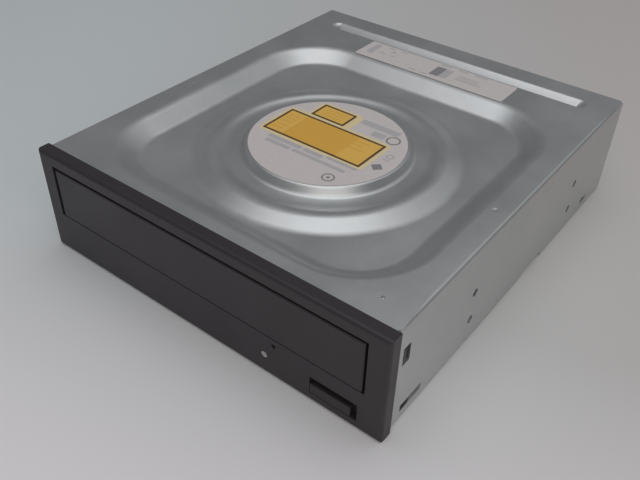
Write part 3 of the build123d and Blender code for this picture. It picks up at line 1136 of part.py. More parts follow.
# Eject switch on the front board, and the button whose stem reaches it
STEM_END_Y = BEZEL_BACK_Y + FIT + BUTTON_FLANGE_T + STEM_LENGTH
SWITCH_TIP_Y = STEM_END_Y + BUTTON_TRAVEL + FIT
SWITCH_Y = SWITCH_TIP_Y + PLUNGER_LENGTH
FRONT_BOARD_TOP = FRONT_BOARD_Z + BOARD_T
BUTTON_X = POCKET_X + POCKET_WIDTH / 2
with BuildPart() as eject_switch:
    x0, x1 = BUTTON_X - SWITCH_WIDTH / 2, BUTTON_X + SWITCH_WIDTH / 2
    block(x0, x1, SWITCH_Y, SWITCH_Y + SWITCH_DEPTH, FRONT_BOARD_TOP, FRONT_BOARD_TOP + SWITCH_HEIGHT)
    bar_y(BUTTON_X, STEM_Z + STEM_HEIGHT / 2, PLUNGER_R, SWITCH_TIP_Y, SWITCH_Y)
save(eject_switch, "eject_switch")

with BuildPart() as eject_button:
    x0, x1 = POCKET_X + BUTTON_CLEAR, POCKET_X + POCKET_WIDTH - BUTTON_CLEAR
    z0, z1 = POCKET_Z + BUTTON_CLEAR, POCKET_Z + POCKET_HEIGHT - BUTTON_CLEAR
    flange_y0 = BEZEL_BACK_Y + FIT
    flange_y1 = flange_y0 + BUTTON_FLANGE_T
    with BuildSketch(Plane.YZ.offset(x0)):
        with BuildLine():
            Polyline(
                (FRONT_Y + BUTTON_PROUD, z0), (flange_y1, z0), (flange_y1, z1),
                (FRONT_Y + BUTTON_PROUD + BUTTON_SCOOP, z1), (FRONT_Y + BUTTON_PROUD, z0 + BUTTON_LAND),
                close=True,
            )
        make_face()
    extrude(amount=x1 - x0)
    block(
        POCKET_X - BUTTON_FLANGE, POCKET_X + POCKET_WIDTH + BUTTON_FLANGE, flange_y0, flange_y1,
        POCKET_Z - BUTTON_FLANGE, POCKET_Z + POCKET_HEIGHT + BUTTON_FLANGE,
    )
    half = STEM_WIDTH / 2
    block(BUTTON_X - half, BUTTON_X + half, flange_y1, STEM_END_Y, STEM_Z, STEM_Z + STEM_HEIGHT)
save(eject_button, "eject_button")

# Light: an emitter on the board and a clear pipe to the bezel
LIGHT_END_Y = BEZEL_BACK_Y + LIGHT_REACH
with BuildPart() as status_light:
    half = LIGHT_R + LIGHT_BODY_EXTRA
    z1 = LIGHT_Z + LIGHT_R
    block(LIGHT_X - half, LIGHT_X + half, LIGHT_END_Y, LIGHT_END_Y + 2 * half, FRONT_BOARD_TOP, z1)
save(status_light, "status_light")

with BuildPart() as light_pipe:
    bar_y(LIGHT_X, LIGHT_Z, LIGHT_R - SPIN_FIT, FRONT_Y + FIT, LIGHT_END_Y)
save(light_pipe, "light_pipe")


def board_holes(points, z):
    """Clearance holes for the screws of a circuit board."""
    for x, y in points:
        post(x, y, COLUMN_HOLE_R + SLIDE_FIT, z, z + BOARD_T, Mode.SUBTRACT)


FRONT_BOARD_POINTS = [(x, FRONT_BOARD_HOLE_Y) for x in FRONT_BOARD_HOLE_XS]
MAIN_BOARD_POINTS = [(x, y) for x in (-BOARD_BOSS_X, BOARD_BOSS_X) for y in BOARD_BOSS_YS]
with BuildPart() as front_board:
    block(FRONT_BOARD_X0, FRONT_BOARD_X1, FRONT_BOARD_Y0, FRONT_BOARD_Y1, FRONT_BOARD_Z, FRONT_BOARD_TOP)
    board_holes(FRONT_BOARD_POINTS, FRONT_BOARD_Z)
save(front_board, "front_board")

MAIN_BOARD_TOP = MAIN_BOARD_Z + BOARD_T
with BuildPart() as main_board:
    block(-MAIN_BOARD_HALF, MAIN_BOARD_HALF, MAIN_BOARD_Y0, MAIN_BOARD_Y1, MAIN_BOARD_Z, MAIN_BOARD_TOP)
    board_holes(MAIN_BOARD_POINTS, MAIN_BOARD_Z)
save(main_board, "main_board")

with BuildPart() as board_screws:
    for x, y in FRONT_BOARD_POINTS:
        screw(x, y, FRONT_BOARD_Z, FRONT_BOARD_TOP + SCREW_SHANK_LENGTH, BOARD_HEAD_R)
    for x, y in MAIN_BOARD_POINTS:
        screw(x, y, MAIN_BOARD_Z, MAIN_BOARD_TOP + SCREW_SHANK_LENGTH)
save(board_screws, "board_screws")

# Chips and ribbon sockets on the main board
with BuildPart() as controller_chip:
    block(*CONTROLLER_SPOT, MAIN_BOARD_TOP, MAIN_BOARD_TOP + CONTROLLER_T)
save(controller_chip, "controller_chip")

with BuildPart() as driver_chip:
    block(*DRIVER_SPOT, MAIN_BOARD_TOP, MAIN_BOARD_TOP + DRIVER_T)
save(driver_chip, "driver_chip")

with BuildPart() as memory_chip:
    block(*MEMORY_SPOT, MAIN_BOARD_TOP, MAIN_BOARD_TOP + MEMORY_T)
save(memory_chip, "memory_chip")

with BuildPart() as ribbon_sockets:
    for x in RIBBON_SOCKET_XS:
        y1 = RIBBON_SOCKET_Y + RIBBON_SOCKET_DEPTH
        z1 = MAIN_BOARD_TOP + RIBBON_SOCKET_HEIGHT
        block(x, x + RIBBON_SOCKET_WIDTH, RIBBON_SOCKET_Y, y1, MAIN_BOARD_TOP, z1)
save(ribbon_sockets, "ribbon_sockets")

with BuildPart() as capacitors:
    for x, y in CAPACITOR_SPOTS:
        post(x, y, CAPACITOR_R, MAIN_BOARD_TOP, MAIN_BOARD_TOP + CAPACITOR_HEIGHT)
save(capacitors, "capacitors")

# Flat ribbon between the two boards, under the cam slider
with BuildPart() as front_ribbon:
    with BuildSketch(Plane.YZ.offset(RIBBON_X)):
        with BuildLine():
            z0 = FRONT_BOARD_Z - RIBBON_T / 2
            z1 = MAIN_BOARD_Z - RIBBON_T / 2
            low = PAN_T + 2 * PAN_T
            front_bend = FRONT_BOARD_Y1 + RIBBON_LEVEL
            rear_bend = MAIN_BOARD_Y0 - RIBBON_LEVEL
            FilletPolyline(
                (FRONT_BOARD_Y1 - RIBBON_GRIP, z0), (front_bend, z0), (front_bend + RIBBON_SLOPE, low),
                (rear_bend - RIBBON_SLOPE, low), (rear_bend, z1), (MAIN_BOARD_Y0 + RIBBON_GRIP, z1),
                radius=RIBBON_BEND_R,
            )
        trace(line_width=RIBBON_T)
    extrude(amount=RIBBON_WIDTH)
save(front_ribbon, "front_ribbon")

# Rear socket: a moulded body with a cavity and a keyed tongue each for power and data
SOCKET_Z = MAIN_BOARD_TOP
CAVITY_WALL = (SOCKET_WIDTH - POWER_WIDTH - DATA_WIDTH - CAVITY_PART) / 2
POWER_X0 = SOCKET_CENTRE_X - SOCKET_WIDTH / 2 + CAVITY_WALL
DATA_X0 = POWER_X0 + POWER_WIDTH + CAVITY_PART
TONGUE_Z = SOCKET_Z + (SOCKET_HEIGHT - TONGUE_HEIGHT) / 2
TONGUE_END_Y = REAR_Y - TONGUE_SETBACK
CAVITY_Y = REAR_Y - CAVITY_DEPTH
with BuildPart() as rear_socket:
    half = SOCKET_WIDTH / 2
    x0, x1 = SOCKET_CENTRE_X - half, SOCKET_CENTRE_X + half
    block(x0, x1, REAR_Y - SOCKET_DEPTH, REAR_Y, SOCKET_Z, SOCKET_Z + SOCKET_HEIGHT)
    cavity_z = SOCKET_Z + (SOCKET_HEIGHT - CAVITY_HEIGHT) / 2
    for x, width in ((POWER_X0, POWER_WIDTH), (DATA_X0, DATA_WIDTH)):
        block(x, x + width, CAVITY_Y, REAR_Y, cavity_z, cavity_z + CAVITY_HEIGHT, Mode.SUBTRACT)
        x0, x1 = x + TONGUE_SIDE, x + width - TONGUE_SIDE
        block(x0, x1, CAVITY_Y, TONGUE_END_Y, TONGUE_Z, TONGUE_Z + TONGUE_HEIGHT)
        block(x0, x0 + KEY_SIZE, CAVITY_Y, TONGUE_END_Y, TONGUE_Z - KEY_SIZE, TONGUE_Z)
save(rear_socket, "rear_socket")

with BuildPart() as socket_contacts:
    for x, width, pins in ((POWER_X0, POWER_WIDTH, POWER_PINS), (DATA_X0, DATA_WIDTH, DATA_PINS)):
        centre = (x + width / 2, CAVITY_Y + PIN_LENGTH / 2, TONGUE_Z + TONGUE_HEIGHT + PIN_T / 2)
        with Locations(centre):
            with GridLocations(PIN_PITCH, 1, pins, 1):
                Box(PIN_WIDTH, PIN_LENGTH, PIN_T)
save(socket_contacts, "socket_contacts")

# Screws of the bottom cover, up into the columns of the frame
with BuildPart() as bottom_screws:
    for x in (-COLUMN_X, COLUMN_X):
        for y in COLUMN_YS:
            screw(x, y, CUP_RISE, PAN_T + CUP_RISE + SCREW_SHANK_LENGTH)
save(bottom_screws, "bottom_screws")

# Labels on the cover
with BuildPart() as round_label:
    post(0, SPINDLE_Y, LABEL_R, BODY_HEIGHT, BODY_HEIGHT + LABEL_T)
save(round_label, "round_label")

with BuildPart() as rear_label:
    y0 = FRONT_Y + REAR_LABEL_SETBACK
    block(REAR_LABEL_X0, REAR_LABEL_X1, y0, y0 + REAR_LABEL_LENGTH, BODY_HEIGHT, BODY_HEIGHT + LABEL_T)
    label_corners = rear_label.edges().filter_by(Axis.Z)
    fillet(label_corners, REAR_LABEL_CORNER_R)
save(rear_label, "rear_label")
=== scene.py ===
from math import radians

import bmesh
import bpy
from bpy.props import FloatProperty, FloatVectorProperty, IntProperty, PointerProperty
from mathutils import Euler, Matrix, Vector


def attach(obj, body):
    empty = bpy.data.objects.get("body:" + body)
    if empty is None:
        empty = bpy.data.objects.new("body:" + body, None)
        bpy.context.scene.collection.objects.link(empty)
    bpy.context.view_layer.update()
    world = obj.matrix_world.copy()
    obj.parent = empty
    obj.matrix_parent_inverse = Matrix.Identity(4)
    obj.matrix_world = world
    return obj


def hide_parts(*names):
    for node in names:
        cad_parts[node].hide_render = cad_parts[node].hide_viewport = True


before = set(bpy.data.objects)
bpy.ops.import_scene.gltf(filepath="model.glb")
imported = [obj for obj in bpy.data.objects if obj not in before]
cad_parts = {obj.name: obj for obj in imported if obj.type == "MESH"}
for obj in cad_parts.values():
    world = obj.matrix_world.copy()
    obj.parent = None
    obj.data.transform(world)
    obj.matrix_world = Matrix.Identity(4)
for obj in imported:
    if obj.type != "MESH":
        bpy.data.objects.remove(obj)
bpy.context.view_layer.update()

bl_info = {
    "name": "Disc Writer Dressing",
    "version": (1, 0, 0),
    "blender": (4, 5, 0),
    "location": "View3D > Sidebar > Disc Writer",
    "description": "Finishes a half-height disc writer: pressed cover, bezel, labels and works",
    "category": "Add Mesh",
}

MM = 0.001
PANEL_TAB = "Disc Writer"


def cad_box(node):
    """The lowest and the highest corner of a CAD piece, in millimetres."""
    corners = [Vector(corner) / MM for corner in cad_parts[node].bound_box]
    return [Vector([pick(c[axis] for c in corners) for axis in range(3)]) for pick in (min, max)]


# Sizes and places are in millimetres where no other unit is named, with X to the right, Y to the
# rear and Z up.
COVER_LOW, COVER_HIGH = cad_box("top_cover")
COVER_WIDTH = COVER_HIGH.x - COVER_LOW.x
COVER_DEPTH = COVER_HIGH.y - COVER_LOW.y
BEZEL_FRONT_Y = cad_box("front_bezel")[0].y
NEAR = 0.01  # heights closer than this are the same
MERGE = 0.001  # corners closer than this become one

# The dish in the top cover: the flat round it at the sides, the front and the rear, and its bends.
# A land is the flat strip that a form's first bend takes up.
DISH_SIDE = 10.2
DISH_FRONT = 6.5
DISH_REAR = 33.2
DISH_LAND = 2.0
DISH_FLOOR_LAND = 1.2
DISH_RIM_BEND = 1.8
DISH_FOOT_BEND = 1.1

# The double ring, from its foot inwards. Drops are counted from the top of the cover.
RING_FOOT_RADIUS = 49.0
RING_LAND = 1.3
RING_SLOPE = 7.4
CREST_DROP = 1.9
CREST_SLOPE = 4.4
VALLEY_DROP = 3.4
VALLEY_WIDTH = 6.0
DISC_SLOPE = 1.5
DISC_LAND = 1.4
# Each band of bends: its inner and outer radius, the bend's offset and its facets.
RING_BENDS = (
    (46, 52, 1.2, 5), (38, 46, 2.4, 7), (33.5, 38, 1.2, 5), (31, 33.5, 1.3, 5), (28, 31, 0.7, 5),
)

# The stiffening groove across the rear.
GROOVE_SETBACK = 16.8
GROOVE_LENGTH = COVER_WIDTH - 21.6
GROOVE_WIDTH = 7.0
GROOVE_LAND = 0.6
GROOVE_CORNER = 3.3
GROOVE_SLOPE = 3.0
GROOVE_DROP = 1.9
GROOVE_BEND = 0.4

# Small round marks in the cover: X, and Y from the front of the bezel.
DIMPLES = ((-68.7, 71.3), (67.0, 70.6))
DIMPLE_RADIUS = 1.3
DIMPLE_STEPS = ((0.5, -0.12), (0.5, -0.1))
PIT = (61.9, 13.8)
PIT_RADIUS = 0.6
PIT_STEPS = ((0.1, -0.7), (0.2, -0.1))

# The folded sides.
FOLD_BEND = 1.2
NOTCH_YS = (10.0, 25.0)
NOTCH_TOP = 2.0
# Each window: the Y and Z of its middle, its length and its height.
SIDE_WINDOWS = ((-74.25, 28.5, 3.7, 7.0), (-68.0, 4.6, 12.0, 2.6), (65.25, 4.55, 6.5, 2.3))
WINDOW_CORNER = 0.3
MOUNT_YS = (-32.6, 46.65)
MOUNT_ZS = (10.0, 21.84)
MOUNT_RADIUS = 1.5

# How a CAD piece is softened.
FLAT_ANGLE = radians(0.6)  # facets that meet flatter than this become one
SHARP_ANGLE = radians(32)  # edges sharper than this get a radius
CUT_ANGLE = radians(40)  # edges of the sheet sharper than this stay sharp
MOST_CORNERS = 60  # a face with more corners is cut into triangles

# The tray door: all that lies in front of its back moves forward, and its lower edge moves down.
DOOR_BACK_Y = -81.9
DOOR_FORWARD = 0.5
DOOR_CAD_LOW_Z = cad_box("tray_door")[0].z
DOOR_LOW_Z = 16.9
DOOR_EDGE_TOP_Z = 18.1
DOOR_EDGE_SCALE = 0.3

# The eject button's cap: where it lies in the CAD, and the sides of its full face.
CAP_BACK_Y = -82.65
CAP_XS = (47.0, 65.5)
CAP_ZS = (3.0, 10.6)
BUTTON_FACE_Y = -84.97
BUTTON_EDGE_Y = -84.0
BUTTON_XS = (47.53, 62.6)
BUTTON_ZS = (3.53, 7.5)
BUTTON_MIDDLE_X = 56.0
BUTTON_MIDDLE_Z = 4.5

# A chip's leg: how far out its bends lie, and the room kept at the ends of each side.
LEG_BENDS = (-0.1, 0.3, 0.55, 1.05)
LEG_LIFT = 0.08
LEG_MARGIN = 1.6
LEG_SHEET = 0.12

# Print. The inks are in this order in both prints, and each layer lies one step above the last.
YELLOW, DEEP, LINE, PALE, MARK, CREAM = range(6)
INK_STEP = 0.006
# A field: its left, right, near and far edge, with Y from the front of the bezel. Those of the
# round label also have their layer, their ink and the radius of their corners.
ROUND_FIELDS = (
    ((-25.8, 20.6, 61.2, 81.6), 0, CREAM, 2.0), ((-18.0, 1.4, 79.0, 92.4), 1, CREAM, 2.5),
    ((-24.6, 19.0, 62.6, 80.2), 2, LINE, 0.4), ((-23.6, 18.0, 63.6, 79.2), 3, YELLOW, 0.0),
    ((-16.0, 8.0, 63.6, 79.2), 4, DEEP, 0.0), ((-16.8, -1.7, 81.6, 91.3), 2, LINE, 0.4),
    ((-15.8, -2.7, 82.6, 90.3), 3, YELLOW, 0.0),
)
# Rows of thin bars over the yellow: their spans of X, the first Y, the pitch and the height.
BAR_ROWS = (
    (((-5.0, 14.0), (-5.0, 12.0), (-2.0, 14.5), (-5.5, 6.0)), 76.4, -2.6, 0.7),
    (((-22.6, -17.6),) * 5, 66.0, 2.5, 0.7),
    (((-13.6, -4.6),) * 3, 84.4, 1.9, 0.5),
)
BAR_LAYER = 5
PALE_BARS = (
    (1.7, 18.3, 88.0, 91.3), (9.5, 15.0, 83.2, 86.5), (-19.0, -4.0, 58.9, 60.9),
    (-3.0, 5.5, 58.9, 60.9), (6.5, 19.5, 60.2, 61.6), (-18.0, -7.0, 56.0, 58.0),
    (-6.0, 17.0, 56.3, 58.0),
)
REAR_BARS = (
    (10.6, 22.6, 143.0, 143.9), (10.8, 21.0, 144.8, 145.5), (10.8, 20.6, 146.3, 147.0),
    (-33.0, -30.2, 141.5, 151.0), (-26.5, -23.6, 150.7, 151.6), (-20.2, -17.0, 150.7, 151.6),
    (-27.8, -24.6, 144.2, 145.2), (-21.8, -20.0, 144.2, 145.2), (0.0, 5.0, 151.0, 151.9),
    (8.5, 13.0, 151.0, 151.9), (16.0, 22.0, 151.0, 151.9), (-23.4, -21.6, 147.6, 149.4),
    (-4.0, -0.6, 139.2, 140.0), (-9.5, -6.0, 139.2, 140.0),
)

# The stage, in metres and degrees: the floor, its painted blends of light and shade, the
# distance of the lamps, and the camera of the photograph.
FLOOR_HALF = 3.0
FLOOR_GAP = 0.0002
# The floor's painted light and shade: a warmer, darker tone to the right and a brighter one in
# front.
RIGHTWARD = (0.79, 0.61, 0.0)
RIGHT_SHADE_BLEND = (-0.15, 0.15)
FORWARD = (0.25, -0.97, 0.0)
NEAR_LIGHT_BLEND = (0.04, 0.17)
LAMP_REACH = 1.1
CAMERA_PLACE = (0.137439, -0.202787, 0.181046)
CAMERA_TILT = (51.3948, -1.3145, 37.6464)
CAMERA_SENSOR = 36.0  # millimetres
CAMERA_NEAREST = 0.01


def linear(hex_colour):
    """A linear colour with alpha from an sRGB hex value such as #8A8D90."""
    channels = [int(hex_colour[i:i + 2], 16) / 255 for i in (1, 3, 5)]
    plain = [c / 12.92 if c <= 0.04045 else ((c + 0.055) / 1.055) ** 2.4 for c in channels]
    return (*plain, 1.0)


def length(name, description, default):
    """A length property in metres, from millimetres."""
    return FloatProperty(name=name, description=description, default=default * MM, unit="LENGTH")


def number(name, description, default, low=0.0):
    """A plain number with its lowest value."""
    return FloatProperty(name=name, description=description, default=default, min=low)


def colour(name, description, hex_colour):
    """A colour property from an sRGB hex value."""
    return FloatVectorProperty(
        name=name, description=description, default=linear(hex_colour), size=4, subtype="COLOR",
        min=0, max=1,
    )


class CoverSettings(bpy.types.PropertyGroup):
    """Sizes and colours of the pressed sheet cover."""

    width: length("Width", "Outside width of the folded cover", COVER_WIDTH)
    front: length("Front", "Where the cover starts, along Y", COVER_LOW.y)
    rear: length("Rear", "Where the cover ends, along Y", COVER_HIGH.y)
    top: length("Top", "Height of the outside of the cover", COVER_HIGH.z)
    skirt: length("Skirt", "Height of the lower edge of its sides", COVER_LOW.z)
    sheet: length("Sheet", "Thickness of the sheet", 0.7)
    dish_width: length("Dish width", "Width of the pressed dish", COVER_WIDTH - 2 * DISH_SIDE)
    dish_length: length(
        "Dish length", "Length of the pressed dish", COVER_DEPTH - DISH_FRONT - DISH_REAR
    )
    dish_front: length("Dish front", "Where the dish starts, along Y", COVER_LOW.y + DISH_FRONT)
    dish_corner: length("Dish corner", "Radius of the corners of the dish", 28.0)
    dish_slope: length("Dish slope", "Width of the slope round the dish", 6.8)
    dish_drop: length("Dish depth", "Depth of the dish", 4.9)
    spindle: length("Disc axis", "Where the disc axis stands, along Y", -14.7)
    groove_start: length(
        "Groove", "Front edge of the stiffening groove, along Y", COVER_HIGH.y - GROOVE_SETBACK
    )
    steel: colour("Steel", "Colour of the zinc-coated steel", "#CFD0CF")
    steel_dark: colour("Steel grain", "Darker tone of its grain", "#C4C6C6")


class BezelSettings(bpy.types.PropertyGroup):
    """Colours of the front and of the moulded parts."""

    plastic: colour("Bezel", "Colour of the moulded bezel", "#2F292D")
    tray: colour("Tray", "Colour of the disc tray", "#2C2C2E")
    works: colour("Frame", "Colour of the loader frame", "#333436")
    natural: colour("Natural plastic", "Colour of the gears and sliders", "#D9D4C6")
    edge: length("Edge", "Radius of the small moulded edges", 0.3)


class LabelSettings(bpy.types.PropertyGroup):
    """Colours of the two labels and the height of their print."""

    lift: length("Lift", "Height of the print above the cover", 0.115)
    paper: colour("Paper", "Colour of the label stock", "#D6CFCC")
    yellow: colour("Yellow", "Colour of the filled fields", "#EDBD5A")
    deep: colour("Deep yellow", "Darker tone in the large field", "#E6B048")
    outline: colour("Outline", "Colour of the lines round the fields", "#5E4524")
    grey: colour("Grey", "Colour of the pale rows", "#BCB9BA")
    mark: colour("Mark", "Colour of the darker marks", "#8E8B8C")


class StageSettings(bpy.types.PropertyGroup):
    """Floor, light and camera."""

    floor: colour("Floor", "Colour of the paper that the writer stands on", "#D2D9DA")
    # Painted light and shade on the floor: a warmer, darker tone to the right and a brighter one in
    # front.
    floor_right_painted_shade: colour("Floor painted shade", "Painted warmer shade towards the right", "#C9C4C1")
    floor_near_painted_light: colour("Floor painted light", "Painted light in front of the writer", "#F4EFF1")
    world: number("Sky", "Strength of the even light", 0.22)
    top_lamp: number("Top lamp", "Power of the lamp overhead in watts", 3.4)
    front_lamp: number("Front lamp", "Power of the front lamp in watts", 3.8)
    rear_lamp: number("Rear lamp", "Power of the rear lamp in watts", 0.9)
    lens: number("Lens", "Focal length in millimetres", 41.885, 1.0)
    facets: IntProperty(name="Facets", description="Facets round a full ring", default=144, min=24)


def add_node(tree, kind, settings=None, inputs=None):
    """Adds a shader node. An input is a value, or a pair to link: a node and its output's name."""
    node = tree.nodes.new(kind)
    for key, value in (settings or {}).items():
        setattr(node, key, value)
    for key, value in (inputs or {}).items():
        if isinstance(value, tuple) and isinstance(value[0], bpy.types.Node):
            tree.links.new(value[0].outputs[value[1]], node.inputs[key])
        else:
            node.inputs[key].default_value = value
    return node


def new_material(name):
    """An empty node material and its tree."""
    material = bpy.data.materials.new(name)
    material.use_nodes = True
    tree = material.node_tree
    tree.nodes.clear()
    return material, tree


def close_material(material, inputs):
    """Adds the surface shader with its inputs, and the output."""
    tree = material.node_tree
    shader = add_node(tree, "ShaderNodeBsdfPrincipled", None, inputs)
    add_node(tree, "ShaderNodeOutputMaterial", inputs={"Surface": (shader, "BSDF")})
    return material


def noise(tree, size, detail=2.0, rough=0.5):
    """Noise in the piece's own coordinates, its cells about size millimetres wide."""
    place = add_node(tree, "ShaderNodeTexCoord")
    node = add_node(tree, "ShaderNodeTexNoise", None, {
        "Vector": (place, "Object"), "Scale": 1 / (size * MM), "Detail": detail, "Roughness": rough,
    })
    return node, "Fac"


def remap(tree, source, low, high, start=0.0, end=1.0):
    """Stretches a value that runs from start to end, so that it runs from low to high."""
    node = add_node(tree, "ShaderNodeMapRange", None, {
        "Value": source, "From Min": start, "From Max": end, "To Min": low, "To Max": high,
    })
    return node, "Result"


def mix(tree, factor, a, b):
    """Mixes two colours."""
    node = add_node(tree, "ShaderNodeMix", {"data_type": "RGBA"}, {
        "Factor": factor, "A": a, "B": b,
    })
    return node, "Result"


def relief(tree, height, strength, depth):
    """Turns a value into a fine relief, its depth in millimetres."""
    node = add_node(tree, "ShaderNodeBump", None, {
        "Height": height, "Strength": strength, "Distance": depth * MM,
    })
    return node, "Normal"


def darker(tone, share):
    """A colour with its channels lowered to a share."""
    return tuple(c * share for c in tone[:3]) + (1.0,)


def sheet_steel(name, light, dark, rough=0.39, crystal=3.2, cloud=28.0, grain=0.45, share=0.16):
    """Zinc-coated steel: satin, with faint crystals over larger clouds of tone and a fine grain."""
    material, tree = new_material(name)
    place = add_node(tree, "ShaderNodeTexCoord")
    crystals = add_node(tree, "ShaderNodeTexVoronoi", {"feature": "F1"}, {
        "Vector": (place, "Object"), "Scale": 1 / (crystal * MM), "Randomness": 1.0,
    })
    clouds = noise(tree, cloud, 3.0, 0.55)
    grey = add_node(tree, "ShaderNodeSeparateColor", None, {"Color": (crystals, "Color")})
    tone = add_node(tree, "ShaderNodeMath", {"operation": "MULTIPLY_ADD"}, {
        0: (grey, "Red"), 1: share, 2: clouds,
    })
    factor = remap(tree, (tone, "Value"), 0.0, 1.0, 0.3, 0.9)
    return close_material(material, {
        "Base Color": mix(tree, factor, dark, light), "Metallic": 1.0,
        "Roughness": remap(tree, clouds, rough - 0.04, rough + 0.05, 0.3, 0.7),
        "Normal": relief(tree, noise(tree, grain), 0.10, 0.03),
    })


def bare_metal(name, hex_colour, rough, grain=0.25, swing=0.25):
    """Turned, drawn or plated metal, with fine tool marks in its gloss."""
    material, tree = new_material(name)
    return close_material(material, {
        "Base Color": linear(hex_colour), "Metallic": 1.0,
        "Roughness": remap(tree, noise(tree, grain), rough * (1 - swing), rough * (1 + swing)),
    })


def moulded(name, tone, rough, grain=0.35, depth=0.02, cloud=22.0, shade=0.86, swing=0.05):
    """Moulded plastic: an even colour with the fine spark-eroded grain of its mould."""
    material, tree = new_material(name)
    clouds = noise(tree, cloud, 3.0)
    return close_material(material, {
        "Base Color": mix(tree, clouds, darker(tone, shade), tuple(tone)), "IOR": 1.5,
        "Roughness": remap(tree, clouds, rough - swing, rough + swing, 0.3, 0.7),
        "Normal": relief(tree, noise(tree, grain, 2.0, 0.6), 0.35, depth),
    })


def printed(name, tone, rough=0.5, fibre=1.6, shade=0.9):
    """Printed or plain coated paper, with a faint fibre tone."""
    material, tree = new_material(name)
    tones = mix(tree, noise(tree, fibre, 3.0), darker(tone, shade), tuple(tone))
    return close_material(material, {"Base Color": tones, "Roughness": rough, "IOR": 1.48})


def circuit_board(name, block=9.0):
    """Glass-epoxy board: dark green mask over copper tracks that show as paler lines."""
    material, tree = new_material(name)
    place = add_node(tree, "ShaderNodeTexCoord")
    tracks = add_node(tree, "ShaderNodeTexBrick", {"offset": 0.5}, {
        "Vector": (place, "Object"), "Scale": 1 / (block * MM), "Color1": linear("#1F5A38"),
        "Color2": linear("#1A4E31"), "Mortar": linear("#2F7A4C"), "Mortar Size": 0.03,
    })
    return close_material(material, {
        "Base Color": (tracks, "Color"), "Roughness": 0.3, "IOR": 1.5, "Coat Weight": 0.3,
        "Coat Roughness": 0.2,
    })


def clear_part(name, hex_colour, rough, cloud=2.0, swing=0.2):
    """Clear moulded plastic or coated glass."""
    material, tree = new_material(name)
    return close_material(material, {
        "Base Color": linear(hex_colour), "IOR": 1.49, "Transmission Weight": 0.6,
        "Roughness": remap(tree, noise(tree, cloud), rough * (1 - swing), rough * (1 + swing)),
    })


def link_piece(name, bm, body, materials, stands_for=()):
    """Makes an object from a bmesh in metres, shaded smooth, and lets it ride on its body."""
    mesh = bpy.data.meshes.new(name)
    bm.normal_update()
    bm.to_mesh(mesh)
    bm.free()
    for polygon in mesh.polygons:
        polygon.use_smooth = True
    for material in materials:
        mesh.materials.append(material)
    piece = bpy.data.objects.new(name, mesh)
    bpy.context.scene.collection.objects.link(piece)
    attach(piece, body)
    if stands_for:
        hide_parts(*stands_for)
    return piece


def weigh_normals(piece):
    """Lets the large faces set the shading, so that flats stay flat beside small radii."""
    weigh = piece.modifiers.new("Weighted Normal", "WEIGHTED_NORMAL")
    weigh.mode = "FACE_AREA"
    weigh.keep_sharp = True


def rounded_face(bm, x, y, z, width, depth, radius=0.0, segments=20):
    """A flat face with rounded corners, from one grid cell whose corners are bevelled."""
    before = set(bm.faces)
    place = Matrix.Translation((x, y, z)) @ Matrix.Diagonal((width, depth, 1, 1))
    made = bmesh.ops.create_grid(bm, x_segments=1, y_segments=1, size=0.5, matrix=place)
    if radius:
        bmesh.ops.bevel(
            bm, geom=made["verts"], offset=radius, offset_type="OFFSET", segments=segments,
            profile=0.5, affect="VERTICES", material=-1, clamp_overlap=True,
        )
    return next(f for f in bm.faces if f not in before)


def round_face(bm, x, y, z, radius, segments):
    """A flat round face."""
    before = set(bm.faces)
    place = Matrix.Translation((x, y, z))
    bmesh.ops.create_circle(bm, cap_ends=True, segments=segments, radius=radius, matrix=place)
    return next(f for f in bm.faces if f not in before)


def inset(bm, face, width, rise):
    """Draws a face in by a width and lifts it by a rise."""
    bmesh.ops.inset_region(
        bm, faces=[face], thickness=width, depth=rise, use_even_offset=True, use_boundary=True
    )


def press(bm, face, steps):
    """Insets a face step by step, as a press tool forms the sheet, and returns the rims."""
    rims = []
    for width, rise in steps:
        inset(bm, face, width, rise)
        rims.append(list(face.edges))
    return rims


def soften(bm, edges, offset, segments):
    """Rounds a bend of the sheet."""
    bmesh.ops.bevel(
        bm, geom=edges, offset=offset, offset_type="OFFSET", segments=segments, profile=0.5,
        affect="EDGES", material=-1, clamp_overlap=True,
    )


def fill_between(bm, edges):
    """Fills the flat sheet between an outline and the outlines of its holes."""
    bmesh.ops.triangle_fill(bm, use_beauty=True, use_dissolve=False, edges=edges, normal=(0, 0, 1))


def level(item, height):
    """True where all the corners of an edge or a face lie at a height."""
    return all(abs(v.co.z - height) < NEAR for v in item.verts)


def bends(edges, angle):
    """The edges along which two faces meet at more than an angle in degrees."""
    return [e for e in edges if len(e.link_faces) == 2 and e.calc_face_angle() > radians(angle)]


def middle_radius(edge, axis_y):
    """How far the middle of an edge lies from the disc axis, in millimetres."""
    middle = (edge.verts[0].co + edge.verts[1].co) / 2
    return (middle.x ** 2 + (middle.y - axis_y) ** 2) ** 0.5


def shared_steel(settings):
    """The one sheet steel that the cover, floor, bridge and traverse share."""
    name = "Zinc-coated sheet steel"
    found = bpy.data.materials.get(name)
    return found or sheet_steel(name, tuple(settings.steel), tuple(settings.steel_dark))


